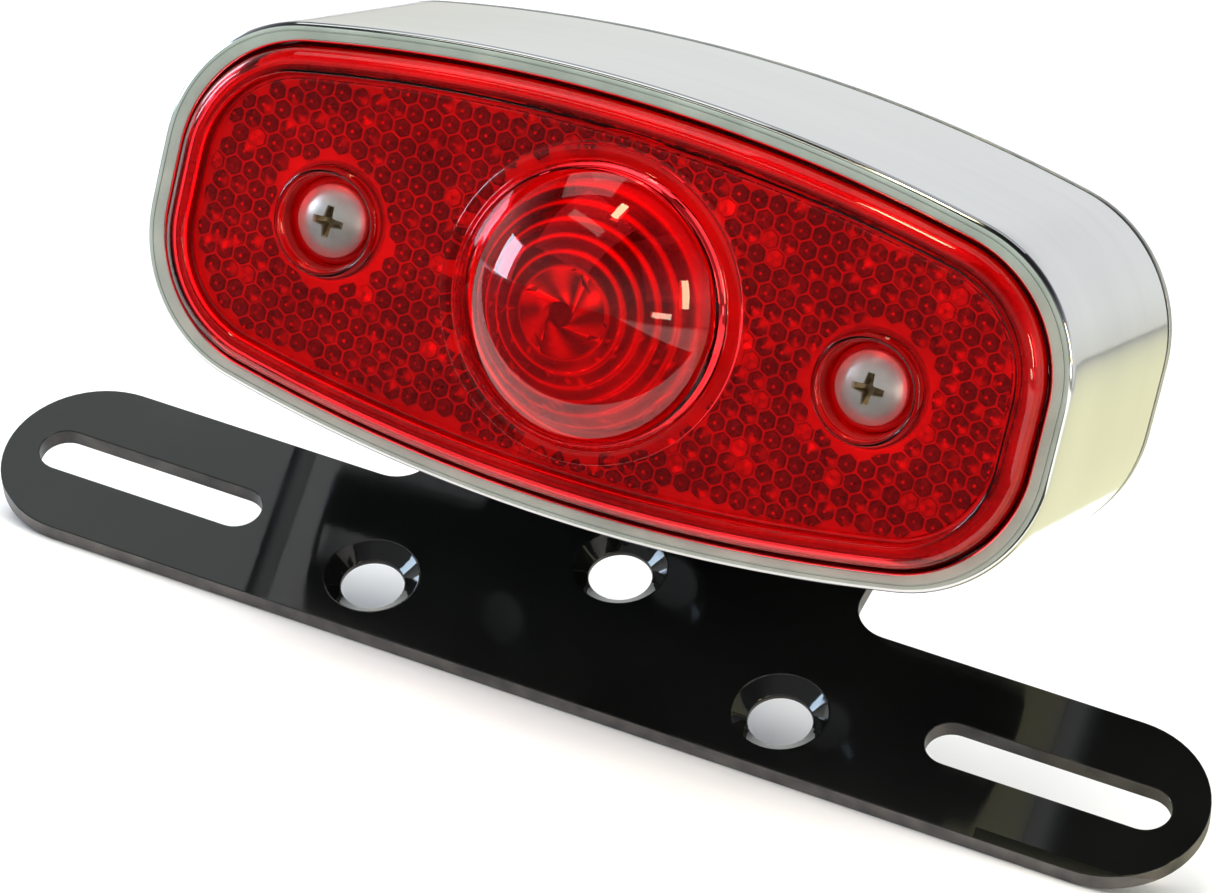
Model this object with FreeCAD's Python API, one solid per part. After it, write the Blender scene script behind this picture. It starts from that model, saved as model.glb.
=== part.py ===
import FreeCAD, Part
import math
import os
from collections import namedtuple

# Motorcycle tail light with its number plate bracket, in millimetres.
# X runs along the light, -Y is the way the lens faces and +Z is up.
# The origin is midway between the two fixing studs, on the bracket's rear face.

V = FreeCAD.Vector
ALONG_Y = V(0, 1, 0)
BIG = 400.0

# An outline has a long arc above and below, a flat arc at each end and four corner arcs.
Outline = namedtuple("Outline", "half_x half_z r_long r_end r_corner")
HOUSING_OUTLINE = Outline(60.24, 27.50, 224.7, 522.0, 18.93)
LENS_OUTLINE = Outline(57.39, 24.90, 222.5, 798.0, 16.90)

# Stations along Y, from the bracket's rear face forwards
PLATE_THICKNESS = 2.4
TAB_FRONT = -PLATE_THICKNESS
BACK_PLATE_THICKNESS = 1.2
BACK_PLATE_FRONT = TAB_FRONT - BACK_PLATE_THICKNESS
GASKET_THICKNESS = 0.9
HOUSING_REAR = BACK_PLATE_FRONT - GASKET_THICKNESS
LENS_PLANE = -45.5
HOUSING_FRONT = LENS_PLANE - 0.56

# Housing shell
RIM_EDGE_RADIUS = 0.9
LENS_CLEARANCE = 0.15
LEDGE_THICKNESS = 2.0
LEDGE_INSET = 3.4
WINDOW_RADIUS = 10.3
WINDOW_CENTRE_Y = LENS_PLANE + 11.5
WINDOW_STRAIGHT = 2.5
WINDOW_FLANGE = 1.5
WINDOW_FLANGE_THICKNESS = 1.0

# Lens
FLANGE_DEPTH = 4.0
LENS_REAR = LENS_PLANE + FLANGE_DEPTH
LENS_GASKET_THICKNESS = 1.0
LEDGE_FRONT = LENS_REAR + LENS_GASKET_THICKNESS
BEAD_FRONT = LENS_PLANE - 3.2
BEAD_INSET = 0.5
BEAD_RADIUS = 1.5
PANEL_INSET = 4.3
PANEL_FRONT = LENS_PLANE - 1.7
PANEL_THICKNESS = 3.0
PANEL_REAR = PANEL_FRONT + PANEL_THICKNESS
SKIRT_THICKNESS = 3.0
DOME_BASE_RADIUS = 19.55
DOME_BASE_HEIGHT = 0.9
DOME_RADIUS = 17.8
DOME_APEX = LENS_PLANE - 13.7
DOME_WALL = 2.4
FRESNEL_PITCH = 1.8
FRESNEL_COUNT = 8
FRESNEL_STEP = 0.6
WELL_SPACING = 72.0
WELL_RADIUS = 5.9
WELL_FLOOR_RADIUS = 5.2
WELL_RING_RADIUS = 6.5
WELL_RING_TUBE = 0.45
WELL_FLOOR = PANEL_REAR
BOSS_RADIUS = 7.0

# Lens screws and the posts that they thread into
SCREW_RADIUS = 2.0
SCREW_LENGTH = 18.0
THREAD_CLEARANCE = 0.05
SCREW_HOLE_RADIUS = 2.3
HEAD_RADIUS = 4.6
HEAD_HEIGHT = 2.7
HEAD_EDGE = 1.1
CROSS_SPAN = 4.3
CROSS_WIDTH = 1.15
CROSS_DEPTH = 1.6
POST_RADIUS = 4.0
POST_SPIGOT_RADIUS = 2.5
POST_RIVET_RADIUS = 3.5
POST_RIVET_HEIGHT = 0.8

# Bulb socket, with its sprung contact carrier
SOCKET_BORE = 7.7
SOCKET_WALL = 0.6
SOCKET_FRONT = -19.5
SOCKET_REAR = 5.5
PLUG_THICKNESS = 3.0
WIRE_COUNT = 3
WIRE_HOLE_RADIUS = 1.2
WIRE_CIRCLE = 3.6
SOCKET_FLANGE_RADIUS = 14.4
SOCKET_FLANGE_THICKNESS = 1.2
SOCKET_COLLAR_WALL = 0.8
SOCKET_COLLAR_LENGTH = 4.0
RIVET_RADIUS = 1.6
RIVET_HEAD_RADIUS = 2.4
RIVET_HEAD_HEIGHT = 1.0
RIVET_CIRCLE = 11.8
CARRIER_RADIUS = 7.3
CARRIER_THICKNESS = 1.8
CONTACT_RADIUS = 1.5
CONTACT_HEIGHT = 1.0
CONTACT_SHANK = 0.8
CONTACT_OFFSET = 3.3
SPRING_RADIUS = 5.9
SPRING_WIRE = 0.9
SPRING_TURNS = 3

# Double-filament bulb with a bayonet base
BULB_CONTACT_PLANE = -5.0
BULB_CONTACT_HEIGHT = 0.8
BASE_RADIUS = 7.55
BASE_WALL = 0.35
BASE_LENGTH = 17.0
BASE_INSULATOR = 1.8
PIN_RADIUS = 1.0
PIN_REACH = 8.6
PIN_DEPTHS = (6.0, 9.0)
PUSH_TRAVEL = 1.5
SLOT_WIDTH = 2.5
SLOT_TURN = 22.0
GLASS_RADIUS = 12.6
GLASS_WALL = 0.7
GLASS_NECK = 7.1
GLASS_TIP = -52.6
STEM_RADIUS = 3.2
STEM_LENGTH = 9.0
FILAMENT_RADIUS = 0.45
FILAMENT_LENGTH = 5.4
FILAMENT_SPACING = 4.4
FILAMENT_ASIDE = 1.1
SUPPORT_WIRE = 0.22

# Studs, washers and nuts that hold the light on its bracket
STUD_SPACING = 44.45
STUD_SHANK_RADIUS = 2.7
STUD_THREAD_RADIUS = 3.0
STUD_HEAD_RADIUS = 5.0
STUD_HEAD_HEIGHT = 1.4
STUD_THREAD_START = 8.2
STUD_END = 16.0
STUD_CHAMFER = 0.6
WASHER_RADIUS = 6.0
WASHER_BORE = 3.2
WASHER_THICKNESS = 1.5
LOCK_WASHER_RADIUS = 5.3
LOCK_WASHER_GAP = 0.9
NUT_ACROSS_FLATS = 10.0
NUT_THICKNESS = 5.0
NUT_BORE = 2.95

# Number plate bracket: a flat plate that leans back, bent up into an upright tab
PLATE_TILT = 36.26
PLATE_REF_Y = -24.56
PLATE_REF_Z = -47.47
PLATE_MID_V = 3.68
PLATE_HALF_WIDTH = 12.73
PLATE_END_U = 70.91
SLOT_INNER_U = 50.27
SLOT_OUTER_U = 75.75
SLOT_RADIUS = 3.38
FIXING_HOLES = ((-28.62, 0.0), (28.62, 0.0), (0.0, 13.93))
FIXING_RADIUS = 4.09
COUNTERSINK_RADIUS = 6.17
COUNTERSINK_DEPTH = 1.7
TAB_HALF_WIDTH = 30.5
TAB_FILLET = 5.0
TAB_TOP = 20.0
TAB_CORNER = 6.0
TAB_HOLE_RADIUS = 14.6
STUD_HOLE_RADIUS = 3.3
BEND_RADIUS = 3.0


def wire_of(edges):
    return Part.Wire(edges)


def line(a, b):
    return Part.LineSegment(a, b).toShape()


def arc(a, mid, b):
    return Part.Arc(a, mid, b).toShape()


def outline_face(outline, inset, y):
    """The outline, drawn in by inset, as a face across Y."""
    half_x, half_z, r_long, r_end, r_corner = (value - inset for value in outline)
    long_centre = V(0, 0, half_z - r_long)
    end_centre = V(half_x - r_end, 0, 0)
    # the corner's centre is at a known distance from both arcs' centres
    across = end_centre - long_centre
    gap = across.Length
    to_long = r_long - r_corner
    to_end = r_end - r_corner
    along = (gap ** 2 + to_long ** 2 - to_end ** 2) / (2 * gap)
    aside = math.sqrt(to_long ** 2 - along ** 2)
    unit = across / gap
    normal = V(-unit.z, 0, unit.x)
    corner = long_centre + unit * along + normal * aside
    if corner.x < 0 or corner.z < 0:
        corner = long_centre + unit * along - normal * aside
    long_dir = (corner - long_centre).normalize()
    end_dir = (corner - end_centre).normalize()
    tangent_long = long_centre + long_dir * r_long
    tangent_end = end_centre + end_dir * r_end
    middle = corner + (long_dir + end_dir).normalize() * r_corner

    def place(point, sign_x, sign_z):
        return V(point.x * sign_x, y, point.z * sign_z)

    top = V(0, y, half_z)
    right = V(half_x, y, 0)
    edges = [arc(place(tangent_long, -1, 1), top, place(tangent_long, 1, 1))]
    edges.append(arc(place(tangent_long, 1, 1), place(middle, 1, 1), place(tangent_end, 1, 1)))
    edges.append(arc(place(tangent_end, 1, 1), right, place(tangent_end, 1, -1)))
    edges.append(arc(place(tangent_end, 1, -1), place(middle, 1, -1), place(tangent_long, 1, -1)))
    edges.append(arc(place(tangent_long, 1, -1), V(0, y, -half_z), place(tangent_long, -1, -1)))
    edges.append(arc(place(tangent_long, -1, -1), place(middle, -1, -1), place(tangent_end, -1, -1)))
    edges.append(arc(place(tangent_end, -1, -1), V(-half_x, y, 0), place(tangent_end, -1, 1)))
    edges.append(arc(place(tangent_end, -1, 1), place(middle, -1, 1), place(tangent_long, -1, 1)))
    return Part.Face(wire_of(edges))


def prism(outline, inset, y0, y1):
    return outline_face(outline, inset, y0).extrude(V(0, y1 - y0, 0))


def rod(radius, y0, y1, x=0.0, z=0.0):
    return Part.makeCylinder(radius, y1 - y0, V(x, y0, z), ALONG_Y)


def ring(outer, inner, y0, y1, x=0.0, z=0.0):
    return rod(outer, y0, y1, x, z).cut(rod(inner, y0 - 1, y1 + 1, x, z))


def turned(points, x=0.0, z=0.0):
    """A solid turned about a line along Y, from its half section's (radius, y) points."""
    corners = [V(r, y, 0) for r, y in points]
    face = Part.Face(Part.makePolygon(corners + corners[:1]))
    solid = face.revolve(V(0, 0, 0), ALONG_Y, 360)
    solid.translate(V(x, 0, z))
    return solid


def edges_at(shape, y, tolerance=1e-4):
    found = []
    for edge in shape.Edges:
        box = edge.BoundBox
        if abs(box.YMin - y) < tolerance and abs(box.YMax - y) < tolerance:
            found.append(edge)
    return found


def pair(maker, spacing):
    """Two copies of one piece, left and right of the middle."""
    return Part.makeCompound([maker(-spacing / 2), maker(spacing / 2)])


def save(name, shape):
    shape.exportStep(f"parts/{name}.step")


# --- housing ---------------------------------------------------------------------------


def window_prism(margin):
    """A tall prism with the window's plan: a half circle with a short straight part ahead of it."""
    radius = WINDOW_RADIUS + margin
    front = WINDOW_CENTRE_Y - WINDOW_STRAIGHT - margin
    left_front = V(-radius, front, -BIG)
    right_front = V(radius, front, -BIG)
    right = V(radius, WINDOW_CENTRE_Y, -BIG)
    left = V(-radius, WINDOW_CENTRE_Y, -BIG)
    rear = V(0, WINDOW_CENTRE_Y + radius, -BIG)
    edges = [line(left_front, right_front), line(right_front, right),
             arc(right, rear, left), line(left, left_front)]
    return Part.Face(wire_of(edges)).extrude(V(0, 0, BIG))


def housing():
    """Polished cast shell with a flat front rim, a ledge for the lens and a window hole below."""
    shell = prism(HOUSING_OUTLINE, 0, HOUSING_FRONT, HOUSING_REAR)
    shell = shell.makeFillet(RIM_EDGE_RADIUS, edges_at(shell, HOUSING_FRONT))
    bore = prism(LENS_OUTLINE, -LENS_CLEARANCE, HOUSING_FRONT - 1, HOUSING_REAR + 1)
    ledge = prism(LENS_OUTLINE, -LENS_CLEARANCE - 0.5, LEDGE_FRONT, LEDGE_FRONT + LEDGE_THICKNESS)
    ledge = ledge.cut(prism(LENS_OUTLINE, LEDGE_INSET, LEDGE_FRONT - 1, LEDGE_FRONT + LEDGE_THICKNESS + 1))
    return shell.cut(bore).fuse(ledge).cut(window_prism(0)).removeSplitter()


def plate_window():
    """Clear window in the housing's underside, held from inside by its own flange."""
    y0 = HOUSING_FRONT
    y1 = HOUSING_REAR
    wall = prism(HOUSING_OUTLINE, 0.1, y0, y1).cut(prism(LENS_OUTLINE, -LENS_CLEARANCE, y0 - 1, y1 + 1))
    lining = prism(LENS_OUTLINE, -LENS_CLEARANCE, y0, y1)
    lining = lining.cut(prism(LENS_OUTLINE, WINDOW_FLANGE_THICKNESS, y0 - 1, y1 + 1))
    return wall.common(window_prism(-0.05)).fuse(lining.common(window_prism(WINDOW_FLANGE))).removeSplitter()


def housing_gasket():
    outer = prism(HOUSING_OUTLINE, 0.4, HOUSING_REAR, BACK_PLATE_FRONT)
    return outer.cut(prism(HOUSING_OUTLINE, 3.4, HOUSING_REAR - 1, BACK_PLATE_FRONT + 1))


def back_plate():
    plate = prism(HOUSING_OUTLINE, 0, BACK_PLATE_FRONT, TAB_FRONT)
    holes = [(0, 0, SOCKET_BORE + SOCKET_WALL)]
    for side in (-1, 1):
        holes.append((side * STUD_SPACING / 2, 0, STUD_SHANK_RADIUS))
        holes.append((side * WELL_SPACING / 2, 0, POST_SPIGOT_RADIUS))
        holes.append((0, side * RIVET_CIRCLE, RIVET_RADIUS))
    for x, z, radius in holes:
        plate = plate.cut(rod(radius, BACK_PLATE_FRONT - 1, TAB_FRONT + 1, x, z))
    return plate


# --- lens and its fixings --------------------------------------------------------------


def dome_sphere():
    """Centre and radius of the dome's outer face."""
    base = PANEL_FRONT - DOME_BASE_HEIGHT
    height = base - DOME_APEX
    radius = (DOME_RADIUS ** 2 + height ** 2) / (2 * height)
    return DOME_APEX + radius, radius


def dome_hollow():
    """The hollow behind the dome, with stepped Fresnel rings on its front."""
    centre, outer = dome_sphere()
    inner = outer - DOME_WALL

    def depth(radius):
        return centre - math.sqrt(inner ** 2 - radius ** 2)

    points = [(0, depth(0))]
    for index in range(FRESNEL_COUNT):
        start = index * FRESNEL_PITCH
        end = start + FRESNEL_PITCH
        points.append((end, depth(end) - FRESNEL_STEP / 2))
        points.append((end, depth(end) + FRESNEL_STEP / 2))
    last = points[-1][0]
    points.append((last + 0.6, PANEL_FRONT))
    points.append((last + 0.6, PANEL_REAR + 1))
    points.append((0, PANEL_REAR + 1))
    return turned(points)


def screw_well(x):
    """The hollow that a lens screw's head sits in, and its through hole."""
    well = turned([(0, PANEL_FRONT - 1), (WELL_RADIUS, PANEL_FRONT - 1), (WELL_RADIUS, PANEL_FRONT),
                   (WELL_FLOOR_RADIUS, WELL_FLOOR), (0, WELL_FLOOR)], x)
    return well.fuse(rod(SCREW_HOLE_RADIUS, WELL_FLOOR - 1, LENS_REAR + 1, x))


def lens():
    """Red moulded lens: a tray with a proud bead round it, a centre dome and two screw wells."""
    bead = prism(LENS_OUTLINE, BEAD_INSET, BEAD_FRONT, LENS_PLANE)
    bead = bead.makeFillet(BEAD_RADIUS, edges_at(bead, BEAD_FRONT))
    body = prism(LENS_OUTLINE, 0, LENS_PLANE, LENS_REAR).fuse(bead)
    body = body.cut(prism(LENS_OUTLINE, PANEL_INSET, BEAD_FRONT - 1, PANEL_FRONT))
    body = body.cut(prism(LENS_OUTLINE, SKIRT_THICKNESS, PANEL_REAR, LENS_REAR + 1))
    centre, radius = dome_sphere()
    dome_base = PANEL_FRONT - DOME_BASE_HEIGHT
    cap = Part.makeSphere(radius, V(0, centre, 0)).common(rod(DOME_RADIUS, DOME_APEX - 1, dome_base))
    body = body.fuse(rod(DOME_BASE_RADIUS, dome_base, PANEL_REAR)).fuse(cap).cut(dome_hollow())
    for side in (-1, 1):
        x = side * WELL_SPACING / 2
        bead_ring = Part.makeTorus(WELL_RING_RADIUS, WELL_RING_TUBE, V(x, PANEL_FRONT, 0), ALONG_Y)
        body = body.fuse(rod(BOSS_RADIUS, PANEL_REAR - 0.5, LENS_REAR, x)).fuse(bead_ring).cut(screw_well(x))
    return body.removeSplitter()


def lens_gasket():
    gasket = prism(LENS_OUTLINE, 0.2, LENS_REAR, LEDGE_FRONT)
    return gasket.cut(prism(LENS_OUTLINE, SKIRT_THICKNESS, LENS_REAR - 1, LEDGE_FRONT + 1))


def cross_wire(span, width, y, x):
    """A plus-shaped outline across Y, with its arms along X and Z."""
    far = span / 2
    near = width / 2
    quarter = [(far, near), (near, near), (near, far)]
    points = []
    for turn in range(4):
        cos, sin = (1, 0, -1, 0)[turn], (0, 1, 0, -1)[turn]
        points += [V(x + cos * a - sin * b, y, sin * a + cos * b) for a, b in quarter]
    return Part.makePolygon(points + points[:1])


def lens_screw(x):
    """Cross-recessed round-head screw, as turned in from the front."""
    edge = WELL_FLOOR - HEAD_EDGE
    crown = HEAD_HEIGHT - HEAD_EDGE
    radius = (HEAD_RADIUS ** 2 + crown ** 2) / (2 * crown)
    top = WELL_FLOOR - HEAD_HEIGHT
    head = Part.makeSphere(radius, V(x, top + radius, 0)).common(rod(HEAD_RADIUS, top - 1, edge, x))
    head = head.fuse(rod(HEAD_RADIUS, edge, WELL_FLOOR, x))
    shank = rod(SCREW_RADIUS, WELL_FLOOR, WELL_FLOOR + SCREW_LENGTH, x)
    mouth = cross_wire(CROSS_SPAN, CROSS_WIDTH, top - 0.2, x)
    floor = cross_wire(CROSS_SPAN * 0.55, CROSS_WIDTH * 0.6, top + CROSS_DEPTH, x)
    recess = Part.makeLoft([mouth, floor], True, True)
    return head.fuse(shank).cut(recess).removeSplitter()


def lens_post(x):
    """Threaded post, riveted into the back plate."""
    post = rod(POST_RADIUS, LENS_REAR, BACK_PLATE_FRONT, x)
    spigot = rod(POST_SPIGOT_RADIUS, BACK_PLATE_FRONT, TAB_FRONT, x)
    rivet = rod(POST_RIVET_RADIUS, TAB_FRONT, TAB_FRONT + POST_RIVET_HEIGHT, x)
    bore = rod(SCREW_RADIUS + THREAD_CLEARANCE, LENS_REAR - 1, WELL_FLOOR + SCREW_LENGTH + 2, x)
    return post.fuse(spigot).fuse(rivet).cut(bore).removeSplitter()


# --- bulb socket -----------------------------------------------------------------------


def pin_places():
    """Side and station of each bayonet pin; the two stand at different depths."""
    base_rear = BULB_CONTACT_PLANE - BULB_CONTACT_HEIGHT
    return [(side, base_rear - depth) for side, depth in zip((1, -1), PIN_DEPTHS)]


def sector(y0, y1, start_deg, end_deg):
    """A wedge through the socket wall, between two angles turned about Y from +X."""
    outer = SOCKET_BORE + SOCKET_WALL + 1
    wedge = Part.makeCylinder(outer, y1 - y0, V(0, 0, 0), V(0, 0, 1), end_deg - start_deg)
    wedge.rotate(V(0, 0, 0), V(1, 0, 0), -90)
    wedge.translate(V(0, y0, 0))
    wedge.rotate(V(0, 0, 0), ALONG_Y, start_deg)
    return wedge.cut(rod(SOCKET_BORE - 1, y0 - 1, y1 + 1))


def bayonet_slot(side, pin_y):
    """Entry, cross run and locking seat for one pin, with room for the pin to be pushed in."""
    half = math.degrees(math.asin(SLOT_WIDTH / 2 / SOCKET_BORE))
    bottom = pin_y + PUSH_TRAVEL + SLOT_WIDTH / 2
    top = pin_y - SLOT_WIDTH / 2
    seat = sector(top, bottom, -half, half)
    run = sector(bottom - SLOT_WIDTH, bottom, -half, SLOT_TURN + half)
    entry = sector(SOCKET_FRONT - 1, bottom, SLOT_TURN - half, SLOT_TURN + half)
    slot = seat.fuse(run).fuse(entry)
    if side < 0:
        slot.rotate(V(0, 0, 0), ALONG_Y, 180)
    return slot


def socket_shell():
    shell = ring(SOCKET_BORE + SOCKET_WALL, SOCKET_BORE, SOCKET_FRONT, SOCKET_REAR)
    for side, pin_y in pin_places():
        shell = shell.cut(bayonet_slot(side, pin_y))
    return shell.removeSplitter()


def socket_flange():
    """Pressed ring with a short collar, which carries the socket on the back plate."""
    outer = SOCKET_BORE + SOCKET_WALL
    front = BACK_PLATE_FRONT - SOCKET_FLANGE_THICKNESS
    flange = rod(SOCKET_FLANGE_RADIUS, front, BACK_PLATE_FRONT)
    collar = rod(outer + SOCKET_COLLAR_WALL, front - SOCKET_COLLAR_LENGTH, front)
    flange = flange.fuse(collar).cut(rod(outer, front - BIG / 10, BACK_PLATE_FRONT + 1))
    for side in (-1, 1):
        flange = flange.cut(rod(RIVET_RADIUS, front - 1, BACK_PLATE_FRONT + 1, 0, side * RIVET_CIRCLE))
    return flange.removeSplitter()


def socket_rivet(z):
    front = BACK_PLATE_FRONT - SOCKET_FLANGE_THICKNESS
    rivet = rod(RIVET_RADIUS, front, TAB_FRONT, 0, z)
    rivet = rivet.fuse(rod(RIVET_HEAD_RADIUS, front - RIVET_HEAD_HEIGHT, front, 0, z))
    tail = rod(RIVET_HEAD_RADIUS, TAB_FRONT, TAB_FRONT + RIVET_HEAD_HEIGHT, 0, z)
    return rivet.fuse(tail).removeSplitter()


def socket_rear_plug():
    """Rubber plug that closes the socket behind, with a hole for each wire."""
    plug = rod(SOCKET_BORE, SOCKET_REAR - PLUG_THICKNESS, SOCKET_REAR)
    for index in range(WIRE_COUNT):
        angle = 2 * math.pi * index / WIRE_COUNT
        x = WIRE_CIRCLE * math.sin(angle)
        z = WIRE_CIRCLE * math.cos(angle)
        plug = plug.cut(rod(WIRE_HOLE_RADIUS, SOCKET_REAR - PLUG_THICKNESS - 1, SOCKET_REAR + 1, x, z))
    return plug


def contact_carrier():
    front = BULB_CONTACT_PLANE + CONTACT_HEIGHT
    carrier = rod(CARRIER_RADIUS, front, front + CARRIER_THICKNESS)
    for side in (-1, 1):
        hole = rod(CONTACT_RADIUS * 0.6, front - 1, front + BIG / 10, 0, side * CONTACT_OFFSET)
        carrier = carrier.cut(hole)
    return carrier


def carrier_contact(z):
    """Brass rivet contact with a rounded front."""
    front = BULB_CONTACT_PLANE + CONTACT_HEIGHT
    rear = front + CARRIER_THICKNESS
    radius = CONTACT_RADIUS
    button = turned([(0, BULB_CONTACT_PLANE), (radius * 0.6, BULB_CONTACT_PLANE), (radius, front - 0.5),
                     (radius, front), (0, front)], 0, z)
    shank = rod(radius * 0.6, front, rear, 0, z)
    return button.fuse(shank).fuse(rod(radius * 0.9, rear, rear + CONTACT_SHANK, 0, z)).removeSplitter()


def contact_spring():
    """Coil spring between the rear plug and the contact carrier, as half turns of alternate lean."""
    front = BULB_CONTACT_PLANE + CONTACT_HEIGHT + CARRIER_THICKNESS
    rear = SOCKET_REAR - PLUG_THICKNESS
    half_pitch = (rear - front - SPRING_WIRE) / (2 * SPRING_TURNS)
    coil = None
    for index in range(2 * SPRING_TURNS):
        side = 1 if index % 2 == 0 else -1
        y = front + SPRING_WIRE / 2 + index * half_pitch
        circle = Part.makeCircle(SPRING_WIRE / 2, V(side * SPRING_RADIUS, y, 0), V(0, 0, 1))
        axis = V(side * half_pitch, 2 * SPRING_RADIUS, 0)
        half_turn = Part.Face(wire_of([circle])).revolve(V(0, y + half_pitch / 2, 0), axis, 180)
        coil = half_turn if coil is None else coil.fuse(half_turn)
    return coil


# --- bulb ------------------------------------------------------------------------------


def bulb_base():
    rear = BULB_CONTACT_PLANE - BULB_CONTACT_HEIGHT
    base = ring(BASE_RADIUS, BASE_RADIUS - BASE_WALL, rear - BASE_LENGTH, rear)
    for side, pin_y in pin_places():
        hole = Part.makeCylinder(PIN_RADIUS, PIN_REACH, V(0, pin_y, 0), V(side, 0, 0))
        base = base.cut(hole)
    return base


def bulb_pins():
    pins = []
    inside = BASE_RADIUS - BASE_WALL
    for side, pin_y in pin_places():
        start = V(side * inside, pin_y, 0)
        pins.append(Part.makeCylinder(PIN_RADIUS, PIN_REACH - inside, start, V(side, 0, 0)))
    return Part.makeCompound(pins)


def bulb_base_insulator():
    rear = BULB_CONTACT_PLANE - BULB_CONTACT_HEIGHT
    return rod(BASE_RADIUS - BASE_WALL, rear - BASE_INSULATOR, rear)


def bulb_contact(z):
    rear = BULB_CONTACT_PLANE
    front = rear - BULB_CONTACT_HEIGHT
    return turned([(0, front), (CONTACT_RADIUS, front), (CONTACT_RADIUS * 0.9, rear - 0.3),
                   (CONTACT_RADIUS * 0.5, rear), (0, rear)], 0, z)


def glass_form(shrink):
    """The bulb's pear shape, drawn in by shrink: a sphere on a tapered neck."""
    radius = GLASS_RADIUS - shrink
    neck = GLASS_NECK - shrink
    centre = GLASS_TIP + GLASS_RADIUS
    rear = BULB_CONTACT_PLANE - BULB_CONTACT_HEIGHT - BASE_LENGTH + 2.5
    shoulder = rear - 3.5
    # the taper leaves the sphere at a tangent that passes through the neck's shoulder
    distance = math.hypot(neck, shoulder - centre)
    lean = math.atan2(neck, shoulder - centre)
    angle = lean + math.acos(radius / distance)
    touch = (radius * math.sin(angle), centre + radius * math.cos(angle))
    cone = turned([(0, touch[1]), touch, (neck, shoulder), (neck, rear), (0, rear)])
    return cone.fuse(Part.makeSphere(radius, V(0, centre, 0))).removeSplitter()


def bulb_glass():
    glass = glass_form(0).cut(glass_form(GLASS_WALL))
    rear = BULB_CONTACT_PLANE - BULB_CONTACT_HEIGHT - BASE_LENGTH + 2.5
    foot = ring(GLASS_NECK, STEM_RADIUS, rear - 1, rear)
    return glass.fuse(foot).removeSplitter()


def bulb_stem():
    rear = BULB_CONTACT_PLANE - BULB_CONTACT_HEIGHT - BASE_LENGTH + 2.5
    return turned([(0, rear - STEM_LENGTH), (STEM_RADIUS * 0.6, rear - STEM_LENGTH), (STEM_RADIUS, rear - 4),
                   (STEM_RADIUS, rear), (0, rear)])


def filament_places():
    """The station and height of each filament's middle; one stands ahead of the other."""
    middle = GLASS_TIP + GLASS_RADIUS
    half = FILAMENT_SPACING / 2
    return [(middle - half, FILAMENT_ASIDE), (middle + half, -FILAMENT_ASIDE)]


def bulb_filaments():
    bars = []
    for y, z in filament_places():
        start = V(-FILAMENT_LENGTH / 2, y, z)
        bars.append(Part.makeCylinder(FILAMENT_RADIUS, FILAMENT_LENGTH, start, V(1, 0, 0)))
    return Part.makeCompound(bars)


def bulb_support_wires():
    """Two wires to each filament, from the stem's front."""
    foot = BULB_CONTACT_PLANE - BULB_CONTACT_HEIGHT - BASE_LENGTH + 2.5 - STEM_LENGTH
    wires = []
    for y, z in filament_places():
        for side in (-1, 1):
            start = V(side * 1.2, foot - 0.1, z)
            end = V(side * (FILAMENT_LENGTH / 2 + 2 * SUPPORT_WIRE), y, z)
            reach = end - start
            wires.append(Part.makeCylinder(SUPPORT_WIRE, reach.Length, start, reach))
    return Part.makeCompound(wires)


# --- studs, washers and nuts -----------------------------------------------------------


def mounting_stud(x):
    head = rod(STUD_HEAD_RADIUS, BACK_PLATE_FRONT - STUD_HEAD_HEIGHT, BACK_PLATE_FRONT, x)
    shank = rod(STUD_SHANK_RADIUS, BACK_PLATE_FRONT, STUD_THREAD_START, x)
    thread = turned([(0, STUD_THREAD_START), (STUD_THREAD_RADIUS, STUD_THREAD_START),
                     (STUD_THREAD_RADIUS, STUD_END - STUD_CHAMFER),
                     (STUD_THREAD_RADIUS - STUD_CHAMFER, STUD_END), (0, STUD_END)], x)
    return head.fuse(shank).fuse(thread).removeSplitter()


def flat_washer(x):
    return ring(WASHER_RADIUS, WASHER_BORE, 0, WASHER_THICKNESS, x)


def lock_washer(x):
    y0 = WASHER_THICKNESS
    washer = ring(LOCK_WASHER_RADIUS, WASHER_BORE, y0, y0 + WASHER_THICKNESS, x)
    gap = Part.makeBox(LOCK_WASHER_GAP, 2 * WASHER_THICKNESS, 2 * LOCK_WASHER_RADIUS,
                       V(x - LOCK_WASHER_GAP / 2, y0 - 0.5, 0))
    return washer.cut(gap)


def stud_nut(x):
    """Hexagon nut with its corners turned off at both faces."""
    y0 = 2 * WASHER_THICKNESS
    y1 = y0 + NUT_THICKNESS
    corner = NUT_ACROSS_FLATS / math.sqrt(3)
    points = []
    for index in range(6):
        angle = math.radians(60 * index + 15)
        points.append(V(x + corner * math.cos(angle), y0, corner * math.sin(angle)))
    nut = Part.Face(Part.makePolygon(points + points[:1])).extrude(V(0, NUT_THICKNESS, 0))
    flat = NUT_ACROSS_FLATS / 2
    section = [(0, y0), (flat, y0), (corner + 0.1, y0 + 0.7),
               (corner + 0.1, y1 - 0.7), (flat, y1), (0, y1)]
    blank = turned(section, x)
    return nut.common(blank).cut(rod(NUT_BORE, y0 - 1, y1 + 1, x))


# --- number plate bracket --------------------------------------------------------------


def flat_box(u0, u1, v0, v1):
    """A block of the plate's thickness in the flat plate's own frame, front face at height 0."""
    return Part.makeBox(u1 - u0, v1 - v0, PLATE_THICKNESS, V(u0, v0, -PLATE_THICKNESS))


def flat_disc(radius, u, v, margin=0.0):
    return Part.makeCylinder(radius, PLATE_THICKNESS + 2 * margin, V(u, v, -PLATE_THICKNESS - margin))


def plate_up():
    """Unit vectors of the leaning plate: up along its face, and out of its front."""
    tilt = math.radians(PLATE_TILT)
    return V(0, math.cos(tilt), math.sin(tilt)), V(0, -math.sin(tilt), math.cos(tilt))


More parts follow.
